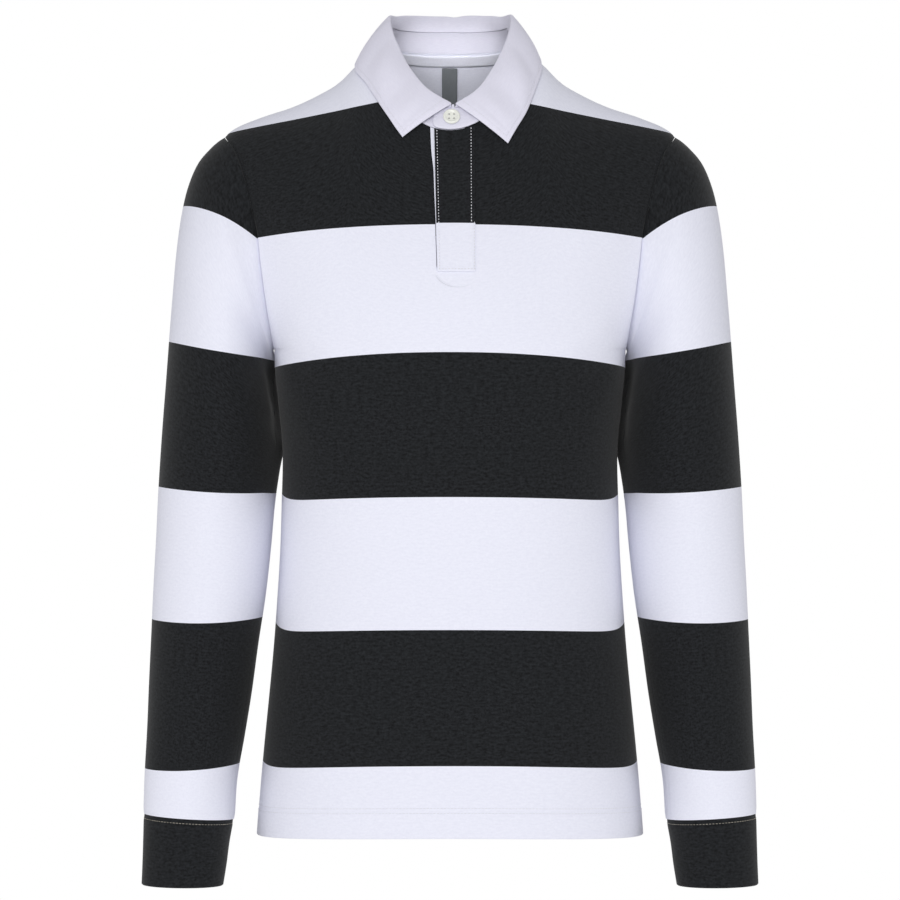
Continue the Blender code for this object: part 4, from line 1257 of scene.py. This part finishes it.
def tape_thick(turn, drop):
    """Thickness of the tape, less at its two edges."""
    return THIN * rim(drop, TAPE_DROPS[0], TAPE_DROPS[-1], 0.0007)


patch("neck_tape", np.linspace(*TAPE_TURNS, 60), TAPE_DROPS, tape_place, tape_thick)
label_top = neck_z(0.0, False) - LABEL_DROP
label_rows = [label_top - LABEL_LENGTH * k / 40 for k in range(41)]


def label_thick(x, z):
    """Thickness of the label, less at its two edges."""
    return LABEL_THICK * rim(x, LABEL_COLUMNS[0], LABEL_COLUMNS[-1], 0.0006)


patch("label", LABEL_COLUMNS, label_rows, label_place, label_thick)

# %% [markdown]
# ## Neck button
#
# A shirt button is turned on a lathe: a domed disc with a raised rim, a dished middle and
# four holes. Its section is a table of heights and reaches, swept round. The holes are cut
# with a Boolean modifier.

# %% Make the button
BUTTON_RADIUS = 0.0076
BUTTON_THICK = 0.0030
BUTTON_TURN = 1.5
BUTTON_SHARE = 0.56
BUTTON_SIDES = 64
HOLE_RADIUS = 0.00085
HOLE_FROM_CENTRE = 0.0022
BUTTON_SECTION = (
    # height, reach: shares of the thickness and of the radius
    (0.00, 0.00), (0.00, 0.60), (0.05, 0.76), (0.25, 0.93), (0.45, 0.99), (0.60, 1.00), (0.74, 0.985), (0.88, 0.94),
    (0.97, 0.88), (1.00, 0.82), (0.98, 0.76), (0.88, 0.70), (0.74, 0.64), (0.68, 0.58), (0.66, 0.50), (0.66, 0.00),
)

button_way = stand_out(BUTTON_TURN)
button_seat = stand_point(BUTTON_TURN, BUTTON_SHARE, stand_track(BUTTON_TURN) + LAY)
button_across = unit(np.cross(button_way, (0.0, 0.0, 1.0)))
button_up = np.cross(button_across, button_way)


def turned(name, section, sides, centre, axis, first, second):
    """Lathe a section of heights and reaches round an axis."""
    shape = bmesh.new()
    rings = []
    for height, reach in section:
        middle = centre + axis * height
        if reach == 0:
            rings.append([shape.verts.new(middle)])
            continue
        angles = [2 * math.pi * k / sides for k in range(sides)]
        rings.append([shape.verts.new(middle + reach * (first * math.cos(a) + second * math.sin(a))) for a in angles])
    for low, high in zip(rings, rings[1:]):
        for k in range(sides):
            after = (k + 1) % sides
            corners = [low[k % len(low)], low[after % len(low)], high[after % len(high)], high[k % len(high)]]
            shape.faces.new(list(dict.fromkeys(corners)))
    bmesh.ops.recalc_face_normals(shape, faces=shape.faces[:])
    mesh = bpy.data.meshes.new(name)
    shape.to_mesh(mesh)
    shape.free()
    piece = bpy.data.objects.new(name, mesh)
    bpy.context.scene.collection.objects.link(piece)
    return piece


def applied(piece):
    """Turn a piece with its modifiers into a plain mesh."""
    bpy.context.view_layer.update()
    made = bpy.data.meshes.new_from_object(piece.evaluated_get(bpy.context.evaluated_depsgraph_get()))
    piece.modifiers.clear()
    piece.data = made
    return piece


def make_button():
    """Turn the button and drill its four holes."""
    section = [(height * BUTTON_THICK, reach * BUTTON_RADIUS) for height, reach in BUTTON_SECTION]
    button = turned("resin_button_neck", section, BUTTON_SIDES, button_seat, button_way, button_across, button_up)
    for k, (a, b) in enumerate(((1, 1), (-1, 1), (-1, -1), (1, -1))):
        middle = button_seat + HOLE_FROM_CENTRE * (a * button_across + b * button_up) - button_way * 0.001
        drill = turned(f"drill_{k}", ((0, 0), (0, HOLE_RADIUS), (0.006, HOLE_RADIUS), (0.006, 0)), 16,
                       middle, button_way, button_across, button_up)
        cut = button.modifiers.new("hole", "BOOLEAN")
        cut.object = drill
        cut.solver = "EXACT"
        applied(button)
        bpy.data.objects.remove(drill)
    button.data.shade_smooth()
    button.data.set_sharp_from_angle(angle=math.radians(35))
    PIECES["button_neck"] = button


make_button()
print("button faces:", len(PIECES["button_neck"].data.polygons))

# %% [markdown]
# ## Sewing
#
# A seam shows as a row of small raised stitches, each a short thread that dives into the
# cloth at both ends. They repeat hundreds of times along a line, which is what Geometry
# Nodes are good at: a line drawn on the cloth is resampled at the stitch pitch, and one
# small pill shape is set on every point, turned along the line and flat on the cloth. Each
# line carries `way`, the direction out of the cloth, so the stitches lie flat on it.

# %% Add a node
def add(tree, kind, inputs=None, **settings):
    """Add one node with its settings; inputs maps a socket to a value or to another socket."""
    node = tree.nodes.new(kind)
    for key, value in settings.items():
        setattr(node, key, value)
    for key, value in (inputs or {}).items():
        if isinstance(value, bpy.types.NodeSocket):
            tree.links.new(value, node.inputs[key])
        else:
            node.inputs[key].default_value = value
    return node


# %% Stitch tree
def stitch_tree():
    """Geometry Nodes that sew one row of stitches along each line of a mesh."""
    tree = bpy.data.node_groups.new("stitch_row", "GeometryNodeTree")
    face = tree.interface
    face.new_socket("Line", in_out="INPUT", socket_type="NodeSocketGeometry")
    for name, value in (("Pitch", 0.0024), ("Length", 0.0018), ("Width", 0.0005), ("Unevenness", 0.12)):
        face.new_socket(name, in_out="INPUT", socket_type="NodeSocketFloat").default_value = value
    face.new_socket("Seed", in_out="INPUT", socket_type="NodeSocketInt").default_value = 7
    face.new_socket("Thread", in_out="INPUT", socket_type="NodeSocketMaterial")
    face.new_socket("Stitches", in_out="OUTPUT", socket_type="NodeSocketGeometry")
    given = add(tree, "NodeGroupInput").outputs
    line = add(tree, "GeometryNodeMeshToCurve", {"Mesh": given["Line"]})
    even = add(tree, "GeometryNodeResampleCurve", {"Curve": line.outputs[0], "Length": given["Pitch"]}, mode="LENGTH")
    along = add(tree, "GeometryNodeInputTangent")
    way = add(tree, "GeometryNodeInputNamedAttribute", {"Name": "way"}, data_type="FLOAT_VECTOR")
    turn = add(tree, "FunctionNodeAlignRotationToVector", {"Vector": along.outputs[0]}, axis="X")
    flat = add(tree, "FunctionNodeAlignRotationToVector",
               {"Rotation": turn.outputs[0], "Vector": way.outputs[0]}, axis="Z", pivot_axis="X")
    pill = add(tree, "GeometryNodeMeshUVSphere", {"Segments": 6, "Rings": 4, "Radius": 0.5})
    size = add(tree, "ShaderNodeCombineXYZ", {"X": given["Length"], "Y": given["Width"], "Z": given["Width"]})
    thread = add(tree, "GeometryNodeTransform", {"Geometry": pill.outputs[0], "Scale": size.outputs[0]})
    low = add(tree, "ShaderNodeMath", {0: 1.0, 1: given["Unevenness"]}, operation="SUBTRACT")
    high = add(tree, "ShaderNodeMath", {0: 1.0, 1: given["Unevenness"]}, operation="ADD")
    chance = add(tree, "FunctionNodeRandomValue", {2: low.outputs[0], 3: high.outputs[0], "Seed": given["Seed"]},
                 data_type="FLOAT")
    sewn = add(tree, "GeometryNodeInstanceOnPoints",
               {"Points": even.outputs[0], "Instance": thread.outputs[0], "Rotation": flat.outputs[0],
                "Scale": chance.outputs[1]})
    real = add(tree, "GeometryNodeRealizeInstances", {0: sewn.outputs[0]})
    smooth = add(tree, "GeometryNodeSetShadeSmooth", {"Geometry": real.outputs[0]})
    dressed = add(tree, "GeometryNodeSetMaterial", {"Geometry": smooth.outputs[0], "Material": given["Thread"]})
    add(tree, "NodeGroupOutput", {"Stitches": dressed.outputs[0]})
    return tree


STITCHES = stitch_tree()


def sew(name, lines, thread, pitch, length, width, seed):
    """Sew rows of stitches along lines, each a list of points and of ways out of the cloth."""
    places, ways, edges = [], [], []
    for points, outs in lines:
        start = len(places)
        places.extend(tuple(point) for point in points)
        ways.extend(tuple(out) for out in outs)
        edges.extend((start + k, start + k + 1) for k in range(len(points) - 1))
    mesh = bpy.data.meshes.new(name)
    mesh.from_pydata(places, edges, [])
    way_data = mesh.attributes.new("way", "FLOAT_VECTOR", "POINT").data
    way_data.foreach_set("vector", np.array(ways, np.float32).ravel())
    row = bpy.data.objects.new(name, mesh)
    bpy.context.scene.collection.objects.link(row)
    sewing = row.modifiers.new("sewing", "NODES")
    sewing.node_group = STITCHES
    values = {"Pitch": pitch, "Length": length, "Width": width, "Seed": seed, "Thread": thread}
    for socket in STITCHES.interface.items_tree:
        if socket.name in values:
            sewing[socket.identifier] = values[socket.name]
    return applied(row)


# %% [markdown]
# ## Finishes
#
# The yarns, the twill, the tape and the button each get their own material. Colours are
# written as the sRGB hex values that the eye knows and turned to linear light by one
# function. The patterns run on the pieces' own UV in metres, times 1000: so every scale
# below is a real size in millimetres.

# %% Colour and pattern helpers
def linear(code):
    """sRGB hex to linear RGBA."""
    parts = [int(code[k:k + 2], 16) / 255 for k in (1, 3, 5)]
    return tuple(c / 12.92 if c <= 0.04045 else ((c + 0.055) / 1.055) ** 2.4 for c in parts) + (1.0,)


def new_material(name, roughness, sheen=0.0, coat=0.0, specular=0.3):
    material = bpy.data.materials.new(name)
    material.use_nodes = True
    shader = material.node_tree.nodes["Principled BSDF"]
    shader.inputs["Roughness"].default_value = roughness
    shader.inputs["Specular IOR Level"].default_value = specular
    shader.inputs["Sheen Weight"].default_value = sheen
    shader.inputs["Sheen Roughness"].default_value = 0.5
    shader.inputs["Coat Weight"].default_value = coat
    return material, material.node_tree, shader


def cloth_millimetres(tree):
    """The piece's UV in millimetres: X across the cloth, Y along it."""
    spot = add(tree, "ShaderNodeUVMap", uv_map="UVMap")
    scaled = add(tree, "ShaderNodeVectorMath", {0: spot.outputs[0], 1: (1000.0, 1000.0, 1000.0)},
                 operation="MULTIPLY")
    return scaled.outputs[0]


def math_node(tree, operation, first, second=0.0):
    return add(tree, "ShaderNodeMath", {0: first, 1: second}, operation=operation).outputs[0]


def blended(tree, factor, first, second):
    """Mix two colours or colour sockets."""
    node = add(tree, "ShaderNodeMix", data_type="RGBA")
    for socket, value in ((0, factor), (6, first), (7, second)):
        if isinstance(value, bpy.types.NodeSocket):
            tree.links.new(value, node.inputs[socket])
        else:
            node.inputs[socket].default_value = value
    return node.outputs[2]


def streaks(tree, spot, across_mm, along_mm, detail=2.0):
    """Uneven streaks of that size, 0 to 1."""
    size = add(tree, "ShaderNodeVectorMath", {0: spot, 1: (1 / across_mm, 1 / along_mm, 1.0)}, operation="MULTIPLY")
    noise = add(tree, "ShaderNodeTexNoise", {"Vector": size.outputs[0], "Scale": 1.0, "Detail": detail, "Roughness": 0.6})
    return noise.outputs["Fac"]


def knit_height(tree, spot, wale_mm, course_mm):
    """Rows of V loops: the height of jersey, 0 to 1."""
    parts = add(tree, "ShaderNodeSeparateXYZ", {0: spot}).outputs
    wale = math_node(tree, "FRACT", math_node(tree, "DIVIDE", parts["X"], wale_mm))
    leg = math_node(tree, "ABSOLUTE", math_node(tree, "SUBTRACT", wale, 0.5))
    slant = math_node(tree, "ADD", math_node(tree, "DIVIDE", parts["Y"], course_mm), math_node(tree, "MULTIPLY", leg, 1.2))
    loop = math_node(tree, "SINE", math_node(tree, "MULTIPLY", slant, 2 * math.pi))
    column = math_node(tree, "SINE", math_node(tree, "MULTIPLY", leg, 2 * math.pi))
    return math_node(tree, "ADD", math_node(tree, "MULTIPLY", loop, 0.25), math_node(tree, "MULTIPLY", column, 0.5))


def bell(tree, value, width):
    """1 where a value is 0, and down to 0 on both sides of it."""
    ratio = math_node(tree, "DIVIDE", value, width)
    return math_node(tree, "EXPONENT", math_node(tree, "MULTIPLY", math_node(tree, "MULTIPLY", ratio, ratio), -1.0))


def seam_groove(tree):
    """The sleeve's long seam: attribute seam holds 1 m plus the distance from it."""
    far = add(tree, "ShaderNodeAttribute", attribute_name="seam").outputs["Fac"]
    return bell(tree, math_node(tree, "SUBTRACT", far, 1.0), 0.0011)


def placket_mark(tree):
    """Where the end of the under placket presses through the front: the lower half of an oval."""
    parts = add(tree, "ShaderNodeSeparateXYZ", {0: add(tree, "ShaderNodeTexCoord").outputs["Object"]}).outputs
    sizes = []
    for socket, middle, reach in (("X", MARK_PLACE[0], MARK_SIZE[0]), ("Z", MARK_PLACE[1], MARK_SIZE[1])):
        sizes.append(math_node(tree, "DIVIDE", math_node(tree, "SUBTRACT", parts[socket], middle), reach))
    square = math_node(tree, "ADD", *(math_node(tree, "MULTIPLY", size, size) for size in sizes))
    off = math_node(tree, "SUBTRACT", math_node(tree, "SQRT", square), 1.0)
    line = bell(tree, off, 0.045)
    low = add(tree, "ShaderNodeMapRange", {"Value": sizes[1], "From Min": -0.25, "From Max": -0.45}).outputs[0]
    left = add(tree, "ShaderNodeMapRange", {"Value": sizes[0], "From Min": 0.9, "From Max": -0.5,
                                            "To Min": 0.1}).outputs[0]
    front = math_node(tree, "LESS_THAN", parts["Y"], -0.05)
    return math_node(tree, "MULTIPLY", math_node(tree, "MULTIPLY", line, low), math_node(tree, "MULTIPLY", left, front))


def raise_surface(tree, shader, height, strength, distance):
    bump = add(tree, "ShaderNodeBump", {"Height": height, "Strength": strength, "Distance": distance})
    tree.links.new(bump.outputs[0], shader.inputs["Normal"])


# %% [markdown]
# ### Striped cotton jersey
#
# Single jersey of combed cotton, about 200 to 300 g to the square metre: matt, with a fine
# grain of V loops and a slight marl, because two yarns of nearly the same tone run side by
# side. Its real loops are about 0.7 mm wide, less than a pixel, so they are drawn at
# 1.5 mm. The stripe is yarn-dyed: `course` picks black or white.

# %% Jersey and cuff knit
WALE_MM = 1.5
COURSE_MM = 1.2
MARK_PLACE = (0.0068, -0.1810)
MARK_SIZE = (0.0200, 0.0160)


def striped_jersey(name, fixed=None):
    """Cotton jersey; fixed gives one colour all over instead of the stripes."""
    material, tree, shader = new_material(name, 0.92, sheen=0.10, specular=0.15)
    spot = cloth_millimetres(tree)
    marl = streaks(tree, spot, 5.5, 2.0, 2.0)
    fibre = streaks(tree, spot, 2.2, 2.2, 1.0)
    marl = math_node(tree, "ADD", math_node(tree, "MULTIPLY", marl, 0.6), math_node(tree, "MULTIPLY", fibre, 0.4))
    tone = add(tree, "ShaderNodeMapRange", {"Value": marl, "From Min": 0.36, "From Max": 0.64}).outputs[0]
    white = blended(tree, tone, linear("#E2E3F0"), linear("#E8E9F5"))
    black = blended(tree, tone, linear("#101113"), linear("#242629"))
    if fixed is None:
        course = add(tree, "ShaderNodeAttribute", attribute_name="course").outputs["Fac"]
        turn = math_node(tree, "FRACT", math_node(tree, "MULTIPLY", course, 0.5))
        dark = math_node(tree, "GREATER_THAN", turn, 0.5)
        colour = blended(tree, dark, white, black)
    else:
        colour = black if fixed == "black" else white
    tree.links.new(colour, shader.inputs["Base Color"])
    height = math_node(tree, "ADD", knit_height(tree, spot, WALE_MM, COURSE_MM), math_node(tree, "MULTIPLY", marl, 0.8))
    loops = add(tree, "ShaderNodeBump", {"Height": height, "Strength": 0.12, "Distance": 0.00020})
    pressed = math_node(tree, "ADD", seam_groove(tree), placket_mark(tree))
    grooves = add(tree, "ShaderNodeBump",
                  {"Height": pressed, "Strength": 1.0, "Distance": 0.0006, "Normal": loops.outputs[0]},
                  invert=True)
    tree.links.new(grooves.outputs[0], shader.inputs["Normal"])
    return material


JERSEY = striped_jersey("striped_cotton_jersey")
CUFF_KNIT = striped_jersey("black_doubled_cuff_knit", "black")
WHITE_JERSEY = striped_jersey("white_cotton_jersey", "white")


# %% [markdown]
# ### Cotton twill of the collar
#
# Twill is woven so that its threads step sideways at each row, which draws fine diagonal
# lines. It is smoother and a little cooler than the jersey. The lines are 0.5 mm apart in
# the real cloth and drawn at 1.1 mm.

# %% Twill, tape, label
TWILL_MM = 1.1


def woven(name, light, dark, pitch_mm, slope, contrast, roughness=0.82, sheen=0.08):
    """Woven cloth with diagonal lines; slope is how steeply they climb."""
    material, tree, shader = new_material(name, roughness, sheen=sheen, specular=0.2)
    spot = cloth_millimetres(tree)
    parts = add(tree, "ShaderNodeSeparateXYZ", {0: spot}).outputs
    step = math_node(tree, "ADD", parts["X"], math_node(tree, "MULTIPLY", parts["Y"], slope))
    line = math_node(tree, "SINE", math_node(tree, "MULTIPLY", step, 2 * math.pi / pitch_mm))
    slub = streaks(tree, spot, 1.0, 6.0, 2.0)
    tone = math_node(tree, "ADD", math_node(tree, "MULTIPLY", line, 0.5 * contrast),
                     math_node(tree, "ADD", math_node(tree, "MULTIPLY", slub, 0.8), 0.1))
    held = add(tree, "ShaderNodeClamp", {"Value": tone}).outputs[0]
    tree.links.new(blended(tree, held, linear(dark), linear(light)), shader.inputs["Base Color"])
    height = math_node(tree, "ADD", math_node(tree, "MULTIPLY", line, 0.5), math_node(tree, "MULTIPLY", slub, 0.6))
    raise_surface(tree, shader, height, 0.30, 0.00015)
    return material


COLLAR_TWILL = woven("white_cotton_twill", "#EAE9F6", "#DAD8E8", TWILL_MM, 1.0, 0.25)
TAPE_CLOTH = woven("white_neck_tape", "#E6E7F1", "#D4D5E1", 1.4, 2.0, 0.4)
# The label's greys are lighter than its own dark grey: painted light that stands in for the light the hollow of the
# neck keeps off.
LABEL_SATIN_PAINTED_LIGHT = woven("grey_label_satin_painted_light", "#85898D", "#73777A", 0.9, 0.15, 0.5, roughness=0.6, sheen=0.0)


# %% [markdown]
# ### Thread and button
#
# Sewing thread is polyester spun on a core: slightly glossy and nearly white. The button
# is cast polyester resin with a pearl tone: off-white, smooth, with a soft clear gloss.

# %% Thread and resin
def spun_thread(name, code):
    material, tree, shader = new_material(name, 0.55, sheen=0.05, specular=0.4)
    spot = add(tree, "ShaderNodeTexCoord").outputs["Object"]
    noise = add(tree, "ShaderNodeTexNoise", {"Vector": spot, "Scale": 900.0, "Detail": 1.0})
    tone = blended(tree, noise.outputs["Fac"], linear(code), tuple(0.8 * c for c in linear(code)[:3]) + (1.0,))
    tree.links.new(tone, shader.inputs["Base Color"])
    return material


def button_resin():
    material, tree, shader = new_material("cast_button_resin", 0.32, coat=0.35, specular=0.5)
    spot = add(tree, "ShaderNodeTexCoord").outputs["Object"]
    cloud = add(tree, "ShaderNodeTexNoise", {"Vector": spot, "Scale": 260.0, "Detail": 3.0, "Distortion": 1.2})
    tone = blended(tree, cloud.outputs["Fac"], linear("#E2E3DA"), linear("#F1F2EC"))
    tree.links.new(tone, shader.inputs["Base Color"])
    raise_surface(tree, shader, cloud.outputs["Fac"], 0.05, 0.0001)
    return material


WHITE_THREAD = spun_thread("white_spun_thread", "#E6E6EC")
BEIGE_THREAD = spun_thread("beige_spun_thread", "#B9B2A4")
BUTTON_RESIN = button_resin()

for name in ("front_panel", "back_panel", "sleeve_left", "sleeve_right", "placket_upper"):
    PIECES[name].data.materials.append(JERSEY)
for name in ("cuff_left", "cuff_right"):
    PIECES[name].data.materials.append(CUFF_KNIT)
for name in ("collar_stand", "collar_leaf"):
    PIECES[name].data.materials.append(COLLAR_TWILL)
PIECES["placket_under"].data.materials.append(WHITE_JERSEY)
PIECES["neck_tape"].data.materials.append(TAPE_CLOTH)
PIECES["label"].data.materials.append(LABEL_SATIN_PAINTED_LIGHT)
PIECES["button_neck"].data.materials.append(BUTTON_RESIN)

# %% [markdown]
# ### Where the rows run
#
# The collar's topstitch lies 4 mm inside its free edges. The placket has a row near each
# side and a box at its end. The hem is sewn with a twin needle, 4.3 mm apart, and each cuff
# has one row just below its seam. Every row is read from the grid of the cloth it holds.

# %% Rows of stitches
THREAD_LIFT = 0.0001


def row_across(name, up):
    """Line across a grid at a distance up from its first row."""
    outer, ways = SURFACES[name]
    far = lengths(outer, 0)
    points, outs = [], []
    for c in range(outer.shape[1]):
        points.append([np.interp(up, far[:, c], outer[:, c, k]) for k in range(3)])
        outs.append([np.interp(up, far[:, c], ways[:, c, k]) for k in range(3)])
    return np.array(points) + THREAD_LIFT * unit(outs), unit(outs)


def closed_row(name, down):
    points, outs = row_across(name, down)
    return np.vstack((points, points[:1])), np.vstack((outs, outs[:1]))


def collar_row():
    """Line inside the leaf's free edges: down one end, round the edge and up the other."""
    across = len(LEAF_TOP[0]) - len(EDGE_STEPS) + EDGE_STEPS.index(STITCH_INSET)
    middle = len(LEAF_TOP) // 2
    points, outs = [], []

    def at_end(last, columns):
        half = slice(middle, None) if last else slice(0, middle)
        order = -1 if last else 1
        far = LEAF_FROM_END[half][::order]
        for column in columns:
            for found, source in ((points, LEAF_TOP), (outs, LEAF_WAYS)):
                line = source[half, column][::order]
                found.append([np.interp(STITCH_INSET, far, line[:, k]) for k in range(3)])

    at_end(False, range(14, across))
    for k in range(len(LEAF_TOP)):
        if LEAF_FROM_END[k] >= STITCH_INSET:
            points.append(LEAF_TOP[k, across])
            outs.append(LEAF_WAYS[k, across])
    at_end(True, range(across - 1, 13, -1))
    return np.array(points) + THREAD_LIFT * unit(outs), unit(outs)


def placket_row(start, end, count=60):
    """Line on the upper placket between two places given as across and share."""
    points, outs = [], []
    for s in np.linspace(0, 1, count):
        across = start[0] + (end[0] - start[0]) * s
        share = start[1] + (end[1] - start[1]) * s
        base = over_slit(across, share, 0.0)
        top = over_slit(across, share, placket_lift(across, share))
        outs.append(unit(top - base))
        points.append(top + outs[-1] * THREAD_LIFT)
    return np.array(points), np.array(outs)


SEWING = {
    "stitches_collar": sew("stitches_collar", [collar_row()], WHITE_THREAD, 0.0026, 0.0021, 0.00045, 3),
    "stitches_placket": sew("stitches_placket", [
        placket_row((0.065, 0.018), (0.065, 0.985)), placket_row((0.900, 0.985), (0.900, 0.345)),
        placket_row((0.055, 0.018), (0.985, 0.018)), placket_row((0.975, 0.018), (0.975, 0.33))],
        WHITE_THREAD, 0.0028, 0.0017, 0.00085, 5),
    "stitches_hem_front": sew("stitches_hem_front",
                              [row_across("front_panel", 0.0225), row_across("front_panel", 0.0268)],
                              WHITE_THREAD, 0.0030, 0.0025, 0.00042, 11),
    "stitches_hem_back": sew("stitches_hem_back",
                             [row_across("back_panel", 0.0225), row_across("back_panel", 0.0268)],
                             WHITE_THREAD, 0.0030, 0.0025, 0.00042, 13),
    "stitches_cuff_left": sew("stitches_cuff_left", [closed_row("cuff_left", CUFF_STITCH)],
                               BEIGE_THREAD, 0.0029, 0.0023, 0.00050, 17),
    "stitches_cuff_right": sew("stitches_cuff_right", [closed_row("cuff_right", CUFF_STITCH)],
                               BEIGE_THREAD, 0.0029, 0.0023, 0.00050, 19),
}
for name, row in SEWING.items():
    print(name, len(row.data.polygons), "faces")

# %% [markdown]
# ## Hand over
#
# Each shell stands for its plain solid, which is hidden, and rides on the one body. The
# rows of stitches ride on it too.


for name, piece in PIECES.items():
    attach(piece, "root")
    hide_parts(name)
for row in SEWING.values():
    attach(row, "root")
